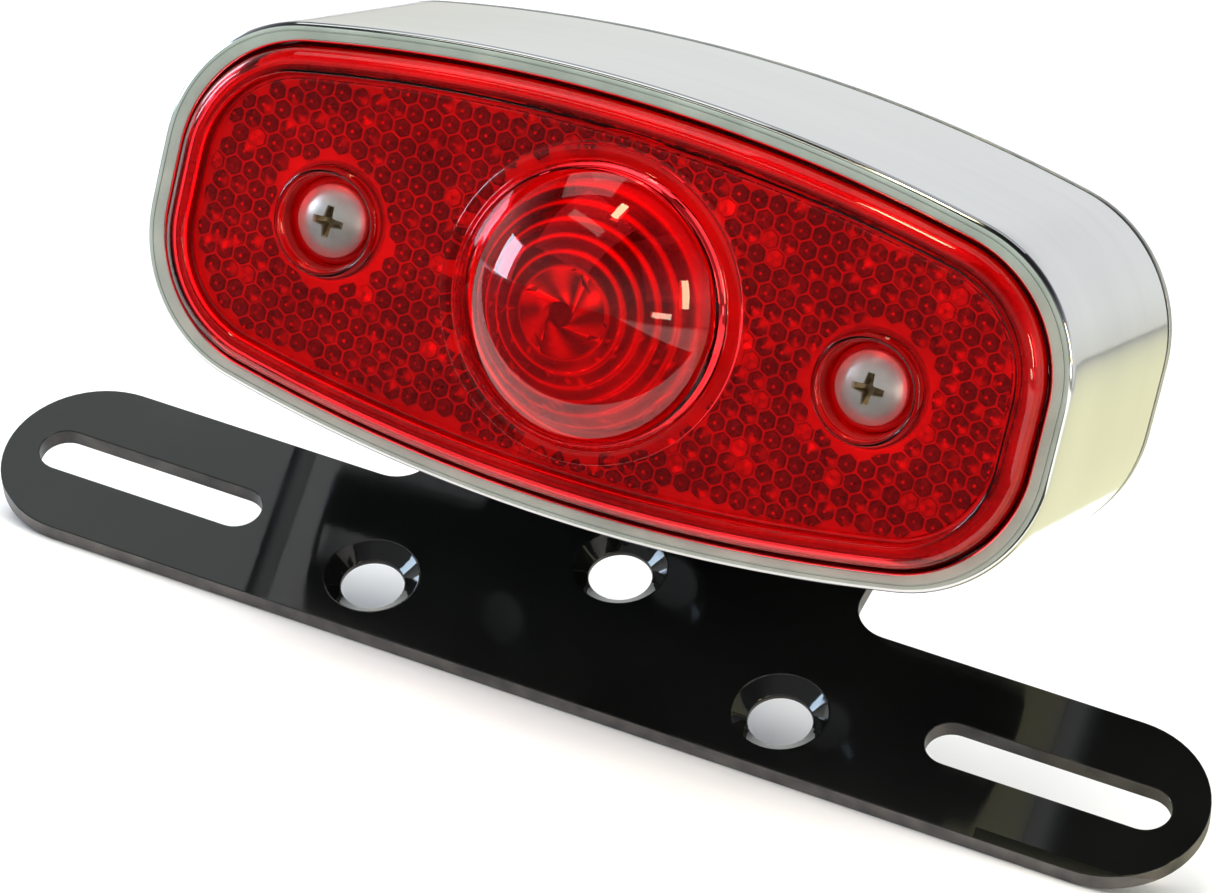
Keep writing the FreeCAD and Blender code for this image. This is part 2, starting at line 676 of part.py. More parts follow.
def bend_start():
    """How far up the plate's front face the bend begins."""
    up, front = plate_up()
    face_y = TAB_FRONT - BEND_RADIUS * (1 + front.y)
    return (face_y - PLATE_REF_Y) / up.y


def slot_void(side):
    inner = side * SLOT_INNER_U
    outer = side * SLOT_OUTER_U
    low, high = min(inner, outer), max(inner, outer)
    void = Part.makeBox(high - low, 2 * SLOT_RADIUS, PLATE_THICKNESS + 2,
                        V(low, PLATE_MID_V - SLOT_RADIUS, -PLATE_THICKNESS - 1))
    for u in (low, high):
        void = void.fuse(flat_disc(SLOT_RADIUS, u, PLATE_MID_V, 1))
    return void


def fixing_void(u, v):
    """Through hole with a countersink in the front face."""
    cone = Part.makeCone(FIXING_RADIUS, COUNTERSINK_RADIUS, COUNTERSINK_DEPTH, V(u, v, -COUNTERSINK_DEPTH))
    lip = Part.makeCylinder(COUNTERSINK_RADIUS, 1, V(u, v, 0))
    return flat_disc(FIXING_RADIUS, u, v, 1).fuse(cone).fuse(lip)


def flat_plate():
    """The leaning plate in its own frame: two slotted arms, three fixing holes and the tab's root."""
    low = PLATE_MID_V - PLATE_HALF_WIDTH
    high = PLATE_MID_V + PLATE_HALF_WIDTH
    plate = flat_box(-PLATE_END_U, PLATE_END_U, low, high)
    for side in (-1, 1):
        plate = plate.fuse(flat_disc(PLATE_HALF_WIDTH, side * PLATE_END_U, PLATE_MID_V))
    plate = plate.fuse(flat_box(-TAB_HALF_WIDTH, TAB_HALF_WIDTH, PLATE_MID_V, bend_start()))
    for side in (-1, 1):
        inner = side * TAB_HALF_WIDTH
        outer = side * (TAB_HALF_WIDTH + TAB_FILLET)
        web = flat_box(min(inner, outer), max(inner, outer), high - 0.5, high + TAB_FILLET)
        plate = plate.fuse(web.cut(flat_disc(TAB_FILLET, outer, high + TAB_FILLET, 1)))
        plate = plate.cut(slot_void(side))
    for u, v in FIXING_HOLES:
        plate = plate.cut(fixing_void(u, v))
    return plate.removeSplitter()


def bend_and_tab():
    """The bend and the upright tab behind the light, as one section drawn out along X."""
    up, front = plate_up()
    start = V(0, PLATE_REF_Y, PLATE_REF_Z) + up * bend_start()
    centre = start + front * BEND_RADIUS
    outer_radius = BEND_RADIUS + PLATE_THICKNESS
    half_turn = math.radians((90 - PLATE_TILT) / 2)
    middle = V(0, math.cos(half_turn), -math.sin(half_turn))
    inner_start = start
    outer_start = start - front * PLATE_THICKNESS
    inner_end = centre + V(0, BEND_RADIUS, 0)
    outer_end = centre + V(0, outer_radius, 0)
    inner_top = V(0, inner_end.y, TAB_TOP)
    outer_top = V(0, outer_end.y, TAB_TOP)
    edges = [arc(inner_start, centre + middle * BEND_RADIUS, inner_end), line(inner_end, inner_top),
             line(inner_top, outer_top), line(outer_top, outer_end),
             arc(outer_end, centre + middle * outer_radius, outer_start), line(outer_start, inner_start)]
    for edge in edges:
        edge.translate(V(-TAB_HALF_WIDTH, 0, 0))
    tab = Part.Face(wire_of(edges)).extrude(V(2 * TAB_HALF_WIDTH, 0, 0))
    corners = []
    for edge in tab.Edges:
        box = edge.BoundBox
        upright = abs(box.XLength) < 1e-6 and abs(box.ZLength) < 1e-6
        if upright and abs(box.ZMin - TAB_TOP) < 1e-4:
            corners.append(edge)
    tab = tab.makeFillet(TAB_CORNER, corners)
    tab = tab.cut(rod(TAB_HOLE_RADIUS, TAB_FRONT - 1, 1))
    for side in (-1, 1):
        tab = tab.cut(rod(STUD_HOLE_RADIUS, TAB_FRONT - 1, 1, side * STUD_SPACING / 2))
    return tab


def number_plate_bracket():
    plate = flat_plate()
    plate.rotate(V(0, 0, 0), V(1, 0, 0), PLATE_TILT)
    plate.translate(V(0, PLATE_REF_Y, PLATE_REF_Z))
    return plate.fuse(bend_and_tab()).removeSplitter()


def main():
    os.makedirs("parts", exist_ok=True)
    save("housing", housing())
    save("plate_window", plate_window())
    save("housing_gasket", housing_gasket())
    save("back_plate", back_plate())
    save("lens", lens())
    save("lens_gasket", lens_gasket())
    save("lens_screws", pair(lens_screw, WELL_SPACING))
    save("lens_posts", pair(lens_post, WELL_SPACING))
    save("socket_shell", socket_shell())
    save("socket_flange", socket_flange())
    save("socket_rivets", pair(socket_rivet, 2 * RIVET_CIRCLE))
    save("socket_rear_plug", socket_rear_plug())
    save("contact_carrier", contact_carrier())
    save("carrier_contacts", pair(carrier_contact, 2 * CONTACT_OFFSET))
    save("contact_spring", contact_spring())
    save("bulb_base", bulb_base())
    save("bulb_pins", bulb_pins())
    save("bulb_base_insulator", bulb_base_insulator())
    save("bulb_contacts", pair(bulb_contact, 2 * CONTACT_OFFSET))
    save("bulb_glass", bulb_glass())
    save("bulb_stem", bulb_stem())
    save("bulb_filaments", bulb_filaments())
    save("bulb_support_wires", bulb_support_wires())
    save("mounting_studs", pair(mounting_stud, STUD_SPACING))
    save("flat_washers", pair(flat_washer, STUD_SPACING))
    save("lock_washers", pair(lock_washer, STUD_SPACING))
    save("stud_nuts", pair(stud_nut, STUD_SPACING))
    save("number_plate_bracket", number_plate_bracket())


main()
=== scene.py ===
import math

import bmesh
import bpy
import numpy as np
from mathutils import Matrix, Vector
from mathutils.geometry import delaunay_2d_cdt


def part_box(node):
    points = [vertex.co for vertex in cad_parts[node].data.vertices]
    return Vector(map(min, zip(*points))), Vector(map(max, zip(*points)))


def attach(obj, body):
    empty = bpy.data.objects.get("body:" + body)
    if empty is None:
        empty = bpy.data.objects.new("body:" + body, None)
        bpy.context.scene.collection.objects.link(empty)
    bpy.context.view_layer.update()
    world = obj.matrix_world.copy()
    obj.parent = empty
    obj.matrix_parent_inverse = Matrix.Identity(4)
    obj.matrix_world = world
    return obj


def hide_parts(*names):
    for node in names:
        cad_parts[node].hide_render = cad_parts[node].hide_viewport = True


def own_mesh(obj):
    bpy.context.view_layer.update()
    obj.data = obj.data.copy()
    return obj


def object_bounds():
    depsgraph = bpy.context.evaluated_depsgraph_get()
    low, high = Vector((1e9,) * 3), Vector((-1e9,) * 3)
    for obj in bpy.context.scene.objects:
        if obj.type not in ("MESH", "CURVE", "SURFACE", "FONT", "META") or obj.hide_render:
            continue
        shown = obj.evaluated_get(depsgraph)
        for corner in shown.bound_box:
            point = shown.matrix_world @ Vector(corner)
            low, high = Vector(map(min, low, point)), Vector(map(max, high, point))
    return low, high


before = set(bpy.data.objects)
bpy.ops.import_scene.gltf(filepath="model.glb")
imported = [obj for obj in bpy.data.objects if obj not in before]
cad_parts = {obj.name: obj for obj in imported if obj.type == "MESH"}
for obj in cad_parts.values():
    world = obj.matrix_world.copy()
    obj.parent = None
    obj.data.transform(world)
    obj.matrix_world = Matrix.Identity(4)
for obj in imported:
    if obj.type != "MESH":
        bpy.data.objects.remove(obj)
cad_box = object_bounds()

MM = 0.001
LAMP = "lamp_body"

# --- camera ----------------------------------------------------------------------------

camera_data = bpy.data.cameras.new("camera")
camera_data.sensor_width = 36.0
camera_data.lens = 155.1
camera_data.clip_start = 0.01
camera = bpy.data.objects.new("camera", camera_data)
bpy.context.collection.objects.link(camera)
aim = Matrix.Translation((0.0062, -0.0474, -0.0161))
turn = Matrix.Rotation(math.radians(18.82), 4, "Z") @ Matrix.Rotation(math.radians(76.73), 4, "X")
roll = Matrix.Rotation(math.radians(13.24), 4, "Z")
camera.matrix_world = aim @ turn @ roll @ Matrix.Translation((0.0, 0.0, 0.6314))
bpy.context.scene.camera = camera
bpy.context.scene.view_settings.view_transform = "Standard"

# --- the CAD's sizes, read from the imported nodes, in millimetres -------------------------


def spans(node):
    """A node's extent along X, Y and Z."""
    low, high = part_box(node)
    return [(a / MM, b / MM) for a, b in zip(low, high)]


housing_x, housing_y, housing_z = spans("housing")
lens_x, lens_y, lens_z = spans("lens")
screw_x, screw_y, screw_z = spans("lens_screws")

# Half width, half height, then the radii of the long arcs, the end arcs and the corners.
HOUSING = (housing_x[1], housing_z[1], 224.7, 522.0, 18.93)
LENS = (lens_x[1], lens_z[1], 222.5, 798.0, 16.90)
RIM_Y, SHELL_REAR_Y = housing_y
LENS_Y = RIM_Y + 0.56
LENS_REAR_Y = lens_y[1]
PANEL_Y = LENS_Y - 1.7
PANEL_BACK_Y = PANEL_Y + 1.3
BEAD_Y = LENS_Y - 3.2
APEX_Y = lens_y[0]
HEAD_RADIUS = (screw_z[1] - screw_z[0]) / 2
WELL_X = screw_x[1] - HEAD_RADIUS
WELL_FLOOR_Y = PANEL_Y + 3.0
HEAD_EDGE = 1.1
HEAD_TOP_Y = screw_y[0]
HEAD_CROWN = WELL_FLOOR_Y - HEAD_EDGE - HEAD_TOP_Y
HEAD_BALL = (HEAD_RADIUS ** 2 + HEAD_CROWN ** 2) / (2 * HEAD_CROWN)
CORE_Y = PANEL_Y + 1.95
CORE_BACK_Y = PANEL_Y + 2.8
DOME_FOOT_Y = PANEL_Y - 0.9
DOME_EDGE = 17.8
DOME_BALL = (DOME_EDGE ** 2 + (DOME_FOOT_Y - APEX_Y) ** 2) / (2 * (DOME_FOOT_Y - APEX_Y))
DOME_CENTRE_Y = APEX_Y + DOME_BALL
SKIN_THICKNESS = 1.2
PANEL_INSET, PANEL_BACK_INSET = 4.7, 4.0
DOME_HOLE, DOME_BACK_HOLE, WELL_HOLE = 20.05, 16.5, 7.45
RING_PITCH = 1.8
RING_DEPTH = 2.4  # of the stepped rings and the swirl, under the dome's surface
CORE_HOLLOW_DEPTH = 4.0
CORE_INSET = 3.9
CORE_HOLE, CORE_BACK_HOLE = 15.6, 14.2
CUP_RADIUS = 7.6
CELL_PITCH_X, CELL_PITCH_Z = 2.45, 2.12
CELL_SIDES = 12
# How near the cells come to the lens's outline, and to the middles of the dome and the wells.
CELL_INSET, CELL_DOME_GAP, CELL_WELL_GAP = 4.3, 18.6, 7.9
WINDOW_RADIUS = 10.3
WINDOW_CENTRE_Y = LENS_Y + 11.5
PLATE_LEAN = math.radians(36.26)
PLATE_BEND_Z = -31.5
ROUND_STEPS, SCREW_STEPS, STUD_STEPS = 96, 72, 64

# --- mesh building -----------------------------------------------------------------------


def outline(shape, inset, y):
    """Points round a rounded outline drawn in by inset: two long arcs, two end arcs, four corners."""
    half_x, half_z, r_long, r_end, r_corner = (value - inset for value in shape)
    long_centre = complex(0.0, half_z - r_long)
    end_centre = complex(half_x - r_end, 0.0)
    across = end_centre - long_centre
    gap = abs(across)
    along = (gap ** 2 + (r_long - r_corner) ** 2 - (r_end - r_corner) ** 2) / (2 * gap)
    aside = math.sqrt((r_long - r_corner) ** 2 - along ** 2)
    options = [long_centre + across / gap * complex(along, sign * aside) for sign in (1, -1)]
    corner = max(options, key=lambda c: min(c.real, c.imag))
    a_long = np.angle(corner - long_centre)
    a_end = np.angle(corner - end_centre)
    quarter = [long_centre + r_long * np.exp(1j * np.linspace(math.pi / 2, a_long, 36, endpoint=False)),
               corner + r_corner * np.exp(1j * np.linspace(a_long, a_end, 22, endpoint=False)),
               end_centre + r_end * np.exp(1j * np.linspace(a_end, 0.0, 11))]
    q = np.concatenate(quarter)
    loop = np.concatenate([q[:-1], np.conj(q[:0:-1]), -q[:-1], -np.conj(q[:0:-1])])
    return np.column_stack([loop.real, np.full(len(loop), y), loop.imag])


def circle(radius, y, x=0.0, count=ROUND_STEPS):
    """Points round a circle that faces along Y."""
    turn = np.linspace(0.0, 2 * math.pi, count, endpoint=False)
    return np.column_stack([x + radius * np.cos(turn), np.full(count, y), radius * np.sin(turn)])


def fillet(radius, from_deg, to_deg, centre, count):
    """Points of an arc in a (distance, y) section."""
    angles = np.radians(np.linspace(from_deg, to_deg, count))
    return [(centre[0] + radius * math.cos(a), centre[1] + radius * math.sin(a)) for a in angles]


class Shape:
    """Collects loops and faces in millimetres, then makes one mesh of them."""

    def __init__(self):
        self.points = []
        self.faces = []
        self.tones = []

    def add(self, points, tone=0.5):
        start = len(self.points)
        self.points += [tuple(p) for p in points]
        tones = np.broadcast_to(tone, (len(points),))
        self.tones += [float(t) for t in tones]
        return list(range(start, start + len(points)))

    def bridge(self, loops, tones=None, ring=False):
        """Quads from each loop to the next, and from the last to the first if it is a ring."""
        rows = [self.add(loop, 0.5 if tones is None else tones[i]) for i, loop in enumerate(loops)]
        if ring:
            rows.append(rows[0])
        for a, b in zip(rows, rows[1:]):
            for i in range(len(a)):
                j = (i + 1) % len(a)
                self.faces.append((a[i], a[j], b[j], b[i]))
        return rows

    def cap(self, row, point, tone=0.5):
        """A fan that closes a row of points at one tip."""
        tip = self.add([point], tone)[0]
        for i in range(len(row)):
            self.faces.append((row[i], row[(i + 1) % len(row)], tip))

    def fill(self, outer, holes, tone=0.5):
        """A flat face between an outer loop and its holes, as an even triangle net."""
        loops = [outer] + holes
        flat, edges = [], []
        for loop in loops:
            start = len(flat)
            flat += [Vector((p[0], p[2])) for p in loop]
            edges += [(start + i, start + (i + 1) % len(loop)) for i in range(len(loop))]
        found, _, triangles, *_ = delaunay_2d_cdt(flat, edges, [], 0, 1e-6)
        row = self.add([(p.x, outer[0][1], p.y) for p in found], tone)
        hulls = [np.array([(p[0], p[2]) for p in loop]) for loop in loops]
        for triangle in triangles:
            middle = sum((found[i] for i in triangle), Vector((0, 0))) / 3
            if inside(middle, hulls[0]) and not any(inside(middle, hull) for hull in hulls[1:]):
                self.faces.append(tuple(row[i] for i in triangle))

    def mesh(self, name, sharp=30.0):
        data = bpy.data.meshes.new(name)
        data.from_pydata([tuple(c * MM for c in p) for p in self.points], [], self.faces)
        tone = data.attributes.new("tone", "FLOAT", "POINT")
        tone.data.foreach_set("value", self.tones)
        work = bmesh.new()
        work.from_mesh(data)
        bmesh.ops.remove_doubles(work, verts=work.verts, dist=1e-6)
        bmesh.ops.recalc_face_normals(work, faces=work.faces)
        work.to_mesh(data)
        work.free()
        soften(data, sharp)
        return data


def inside(point, hull):
    """Whether an (x, z) point lies within a closed outline."""
    x, z = hull[:, 0], hull[:, 1]
    x2, z2 = np.roll(x, -1), np.roll(z, -1)
    crosses = (z > point.y) != (z2 > point.y)
    with np.errstate(divide="ignore", invalid="ignore"):
        at = x + (point.y - z) * (x2 - x) / (z2 - z)
    return bool(np.count_nonzero(crosses & (point.x < at)) % 2)


def soften(data, sharp):
    """Smooth shading, apart from edges sharper than this many degrees."""
    data.polygons.foreach_set("use_smooth", [True] * len(data.polygons))
    data.set_sharp_from_angle(angle=math.radians(sharp))


def place(name, data, body, finish, slot, *nodes):
    """Puts a mesh in the scene, riding on its body and standing for its CAD nodes."""
    piece = bpy.data.objects.new(name, data)
    bpy.context.collection.objects.link(piece)
    data.materials.clear()
    data.materials.append(finish)
    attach(piece, body)
    if nodes:
        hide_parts(*nodes)
    return piece


def settle(piece):
    """Applies a piece's modifiers to its mesh."""
    bpy.context.view_layer.update()
    done = bpy.data.meshes.new_from_object(piece.evaluated_get(bpy.context.evaluated_depsgraph_get()))
    piece.modifiers.clear()
    piece.data = done


def cut_away(piece, shape, name):
    """Takes a closed shape out of a piece."""
    cutter = bpy.data.objects.new(name, shape.mesh(name))
    bpy.context.collection.objects.link(cutter)
    cut = piece.modifiers.new(name, "BOOLEAN")
    cut.object = cutter
    cut.solver = "EXACT"
    settle(piece)
    soften(piece.data, 30.0)
    bpy.data.objects.remove(cutter)


# --- materials ---------------------------------------------------------------------------


def node(tree, kind, inputs=None, **settings):
    """A shader node; an input is linked if it is a socket, and set otherwise."""
    made = tree.nodes.new(kind)
    for key, value in settings.items():
        setattr(made, key, value)
    for key, value in (inputs or {}).items():
        if isinstance(value, bpy.types.NodeSocket):
            tree.links.new(value, made.inputs[key])
        else:
            made.inputs[key].default_value = value
    return made


def ramp(tree, fac, *stops):
    made = node(tree, "ShaderNodeValToRGB", {"Fac": fac})
    elements = made.color_ramp.elements
    while len(elements) < len(stops):
        elements.new(0.5)
    for element, (at, colour) in zip(elements, stops):
        element.position = at
        element.color = (*colour, 1.0)
    return made.outputs["Color"]


def maths(tree, operation, a, b=0.0, c=0.0, clamp=False):
    made = node(tree, "ShaderNodeMath", operation=operation, use_clamp=clamp)
    for socket, value in zip(made.inputs, (a, b, c)):
        if isinstance(value, bpy.types.NodeSocket):
            tree.links.new(value, socket)
        else:
            socket.default_value = value
    return made.outputs[0]


def blank(name):
    """A new material with its node tree and its shader."""
    made = bpy.data.materials.new(name)
    made.use_nodes = True
    tree = made.node_tree
    return made, tree, tree.nodes["Principled BSDF"]


def place_in(tree):
    """The point's place in its piece, in metres."""
    return node(tree, "ShaderNodeTexCoord").outputs["Object"]


def axis(tree, vector, name):
    return node(tree, "ShaderNodeSeparateXYZ", {0: vector}).outputs[name]


def noise(tree, scale, detail=3.0, stretch=(1, 1, 1)):
    mapped = node(tree, "ShaderNodeMapping", {"Vector": place_in(tree), "Scale": stretch}).outputs[0]
    found = node(tree, "ShaderNodeTexNoise", {"Vector": mapped, "Scale": scale, "Detail": detail})
    return found.outputs["Fac"]


def either(tree, fac, first, second):
    """The first colour where fac is 0 and the second where it is 1."""
    return node(tree, "ShaderNodeMix", {0: fac, 6: first, 7: second}, data_type="RGBA").outputs[2]


def spread(tree, fac, low, high):
    """A noise's middle range, stretched from low to high."""
    return node(tree, "ShaderNodeMapRange", {"Value": fac, "From Min": 0.3, "From Max": 0.7,
                                             "To Min": low, "To Max": high}).outputs[0]


def bump(tree, height, distance, under=None):
    """A relief of this depth in metres, on top of another one if it is given."""
    inputs = {"Height": height, "Strength": 1.0, "Distance": distance}
    if under is not None:
        inputs["Normal"] = under
    return node(tree, "ShaderNodeBump", inputs).outputs[0]


def stuff(name, dark, light, grain, rough, metallic=0.0, bump_depth=4e-6):
    """A plain finish with uneven colour and gloss and a fine relief."""
    made, tree, shader = blank(name)
    tree.links.new(ramp(tree, noise(tree, grain, 5.0), (0.32, dark), (0.68, light)),
                   shader.inputs["Base Color"])
    tree.links.new(spread(tree, noise(tree, grain * 2.7, 4.0), *rough), shader.inputs["Roughness"])
    tree.links.new(bump(tree, noise(tree, 900.0, 4.0), bump_depth), shader.inputs["Normal"])
    shader.inputs["Metallic"].default_value = metallic
    return made


def let_light_through(tree, shader, colour):
    """The piece only tints the light that shines through it on the way to what lies behind."""
    clear = node(tree, "ShaderNodeBsdfTransparent", {"Color": (*colour, 1.0)})
    is_shadow = node(tree, "ShaderNodeLightPath").outputs["Is Shadow Ray"]
    chosen = node(tree, "ShaderNodeMixShader", {0: is_shadow, 1: shader.outputs[0], 2: clear.outputs[0]})
    tree.links.new(chosen.outputs[0], tree.nodes["Material Output"].inputs["Surface"])


def red_moulding():
    """Clear red acrylic."""
    made, tree, shader = blank("red_acrylic")
    tint = ramp(tree, noise(tree, 60.0), (0.3, (0.90, 0.018, 0.028)), (0.7, (0.97, 0.035, 0.045)))
    tree.links.new(tint, shader.inputs["Base Color"])
    tree.links.new(spread(tree, noise(tree, 300.0, 4.0), 0.0, 0.03), shader.inputs["Roughness"])
    tree.links.new(bump(tree, noise(tree, 220.0), 3e-6), shader.inputs["Normal"])
    shader.inputs["Transmission Weight"].default_value = 1.0
    shader.inputs["IOR"].default_value = 1.49
    let_light_through(tree, shader, (0.95, 0.12, 0.13))
    return made


def clear_glass(name, colour):
    made, tree, shader = blank(name)
    lighter = tuple(min(1.0, c * 1.04) for c in colour)
    tint = ramp(tree, noise(tree, 90.0), (0.3, colour), (0.7, lighter))
    tree.links.new(tint, shader.inputs["Base Color"])
    tree.links.new(spread(tree, noise(tree, 400.0), 0.0, 0.03), shader.inputs["Roughness"])
    shader.inputs["Transmission Weight"].default_value = 1.0
    let_light_through(tree, shader, colour)
    return made


def reflector_core():
    """The patterned back of the lens from the mesh's tone: bright net, dark cell caps and painted highlights
    such as the pink specks; it also has a faint painted glow.
    """
    made, tree, shader = blank("reflex_red")
    tone = node(tree, "ShaderNodeAttribute", attribute_name="tone").outputs["Fac"]
    patchy = maths(tree, "MULTIPLY_ADD", noise(tree, 120.0, 5.0), 0.30, -0.15)
    mixed = maths(tree, "ADD", tone, patchy, clamp=True)
    colour = ramp(tree, mixed, (0.0, (0.018, 0.001, 0.002)), (0.25, (0.075, 0.002, 0.005)),
                  (0.55, (0.42, 0.003, 0.011)), (0.80, (0.80, 0.04, 0.07)), (1.0, (1.0, 0.85, 0.85)))
    tree.links.new(colour, shader.inputs["Base Color"])
    tree.links.new(spread(tree, noise(tree, 500.0), 0.16, 0.34), shader.inputs["Roughness"])
    tree.links.new(bump(tree, noise(tree, 900.0, 4.0), 2e-5), shader.inputs["Normal"])
    # Painted glow: the surface gives off a little light in its own colour.
    tree.links.new(colour, shader.inputs["Emission Color"])
    shader.inputs["Emission Strength"].default_value = 0.03
    return made


def polished_shell():
    """Bright polished metal; its flat front rim is satin, with a grey-green painted reflection in its colour.
    """
    made, tree, shader = blank("polished_metal")
    facing = axis(tree, node(tree, "ShaderNodeNewGeometry").outputs["True Normal"], "Y")
    front = maths(tree, "MULTIPLY", maths(tree, "LESS_THAN", facing, -0.93),
                  maths(tree, "LESS_THAN", axis(tree, place_in(tree), "Y"), (RIM_Y + 0.3) * MM))
    bright = ramp(tree, noise(tree, 22.0, 5.0, (0.5, 3.0, 0.5)),
                  (0.3, (0.72, 0.72, 0.72)), (0.7, (0.81, 0.81, 0.81)))
    # Painted reflection: the front rim's grey-green colour stands in for what that face mirrors.
    satin_with_painted_reflection = ramp(tree, noise(tree, 160.0, 6.0), (0.35, (0.30, 0.355, 0.31)), (0.65, (0.38, 0.44, 0.385)))
    tree.links.new(either(tree, front, bright, satin_with_painted_reflection), shader.inputs["Base Color"])
    gloss = spread(tree, noise(tree, 70.0, 6.0, (0.4, 4.0, 0.4)), 0.05, 0.13)
    tree.links.new(maths(tree, "MULTIPLY_ADD", front, 0.33, gloss), shader.inputs["Roughness"])
    waves = bump(tree, noise(tree, 45.0, 2.0, (0.35, 2.2, 0.35)), 3.5e-5)
    brushed = bump(tree, noise(tree, 2500.0, 3.0, (0.2, 3.0, 0.2)), 8e-7, waves)
    tree.links.new(brushed, shader.inputs["Normal"])
    tree.links.new(maths(tree, "MULTIPLY_ADD", front, -0.72, 1.0), shader.inputs["Metallic"])
    return made


def black_paint():
    """Thick gloss black paint with slight orange peel; the cut edges are duller and browner."""
    made, tree, shader = blank("black_gloss")
    normal = node(tree, "ShaderNodeNewGeometry").outputs["True Normal"]
    lean = (0.0, -math.sin(PLATE_LEAN), math.cos(PLATE_LEAN))
    along_lean = node(tree, "ShaderNodeVectorMath", {0: normal, 1: lean}, operation="DOT_PRODUCT")
    on_plate = maths(tree, "ABSOLUTE", along_lean.outputs["Value"])
    above_bend = maths(tree, "GREATER_THAN", axis(tree, place_in(tree), "Z"), PLATE_BEND_Z * MM)
    on_tab = maths(tree, "MULTIPLY", maths(tree, "ABSOLUTE", axis(tree, normal, "Y")), above_bend)
    cut = maths(tree, "LESS_THAN", maths(tree, "MAXIMUM", on_plate, on_tab), 0.35)
    paint = ramp(tree, noise(tree, 35.0, 5.0), (0.3, (0.0025, 0.0027, 0.0026)), (0.7, (0.006, 0.0065, 0.006)))
    edge = ramp(tree, noise(tree, 260.0, 6.0), (0.35, (0.035, 0.032, 0.034)), (0.65, (0.10, 0.088, 0.08)))
    tree.links.new(either(tree, cut, paint, edge), shader.inputs["Base Color"])
    gloss = spread(tree, noise(tree, 90.0, 4.0), 0.035, 0.075)
    tree.links.new(maths(tree, "MULTIPLY_ADD", cut, 0.36, gloss), shader.inputs["Roughness"])
    peel = bump(tree, noise(tree, 260.0, 2.0), 5e-6)
    tree.links.new(bump(tree, noise(tree, 1500.0), 4e-7, peel), shader.inputs["Normal"])
    shader.inputs["IOR"].default_value = 1.52
    return made


def screw_steel():
    """Satin stainless; the cross recess is coloured a darker brown and rougher, more so further in."""
    made, tree, shader = blank("stainless")
    where = node(tree, "ShaderNodeSeparateXYZ", {0: place_in(tree)})
    off = maths(tree, "SUBTRACT", maths(tree, "ABSOLUTE", where.outputs["X"]), WELL_X * MM)
    square = maths(tree, "ADD", maths(tree, "POWER", maths(tree, "ABSOLUTE", off), 2.0),
                   maths(tree, "POWER", maths(tree, "ABSOLUTE", where.outputs["Z"]), 2.0))
    cap_y = maths(tree, "SUBTRACT", (HEAD_TOP_Y + HEAD_BALL) * MM,
                  maths(tree, "SQRT", maths(tree, "SUBTRACT", (HEAD_BALL * MM) ** 2, square)))
    depth = maths(tree, "SUBTRACT", where.outputs["Y"], cap_y)
    near = maths(tree, "LESS_THAN", square, (2.5 * MM) ** 2)
    pit = maths(tree, "MULTIPLY", near, node(tree, "ShaderNodeMapRange", {
        "Value": depth, "From Min": 0.00008, "From Max": 0.0006, "To Min": 0.0, "To Max": 1.0}).outputs[0])
    steel = ramp(tree, noise(tree, 420.0, 6.0), (0.3, (0.62, 0.61, 0.58)), (0.7, (0.76, 0.75, 0.72)))
    recess_brown = ramp(tree, noise(tree, 900.0, 5.0), (0.3, (0.16, 0.10, 0.05)), (0.7, (0.42, 0.33, 0.20)))
    tree.links.new(either(tree, pit, steel, recess_brown), shader.inputs["Base Color"])
    tree.links.new(maths(tree, "MULTIPLY_ADD", pit, 0.10, spread(tree, noise(tree, 700.0, 5.0), 0.30, 0.38)),
                   shader.inputs["Roughness"])
    tree.links.new(bump(tree, noise(tree, 3000.0, 4.0), 3e-6), shader.inputs["Normal"])
    shader.inputs["Metallic"].default_value = 0.84
    return made


RED = red_moulding()
CORE = reflector_core()
SHELL = polished_shell()
BLACK = black_paint()
STEEL = screw_steel()
RUBBER = stuff("black_rubber", (0.010, 0.010, 0.011), (0.022, 0.021, 0.021), 300.0, (0.55, 0.75),
               bump_depth=2e-5)
ZINC = stuff("zinc_plating", (0.44, 0.45, 0.46), (0.60, 0.60, 0.58), 180.0, (0.26, 0.42), 1.0,
             bump_depth=2.5e-6)
PLATED = stuff("plated_steel", (0.50, 0.50, 0.49), (0.66, 0.65, 0.62), 260.0, (0.20, 0.34), 1.0,
               bump_depth=2e-6)
SPRING = stuff("spring_steel", (0.28, 0.28, 0.29), (0.42, 0.42, 0.42), 320.0, (0.28, 0.42), 1.0,
               bump_depth=6e-6)
SOCKET = stuff("socket_metal", (0.52, 0.48, 0.38), (0.68, 0.64, 0.52), 200.0, (0.22, 0.38), 1.0,
               bump_depth=2e-6)
BRASS = stuff("brass", (0.62, 0.43, 0.16), (0.76, 0.56, 0.26), 400.0, (0.22, 0.36), 1.0)
NICKEL = stuff("nickel_brass", (0.58, 0.55, 0.47), (0.70, 0.67, 0.58), 240.0, (0.18, 0.32), 1.0)
SOLDER = stuff("solder", (0.42, 0.42, 0.44), (0.58, 0.58, 0.58), 700.0, (0.30, 0.50), 1.0, bump_depth=3e-5)
BROWN = stuff("brown_insulator", (0.10, 0.045, 0.02), (0.17, 0.08, 0.04), 260.0, (0.40, 0.60),
              bump_depth=1e-5)
VITRITE = stuff("black_glass", (0.008, 0.008, 0.012), (0.02, 0.02, 0.028), 300.0, (0.10, 0.22))
TUNGSTEN = stuff("tungsten", (0.24, 0.23, 0.22), (0.36, 0.34, 0.32), 900.0, (0.35, 0.50), 1.0)
GLASS = clear_glass("clear_glass", (0.97, 0.98, 0.97))
PLASTIC = clear_glass("clear_plastic", (0.93, 0.94, 0.91))

# --- housing -----------------------------------------------------------------------------


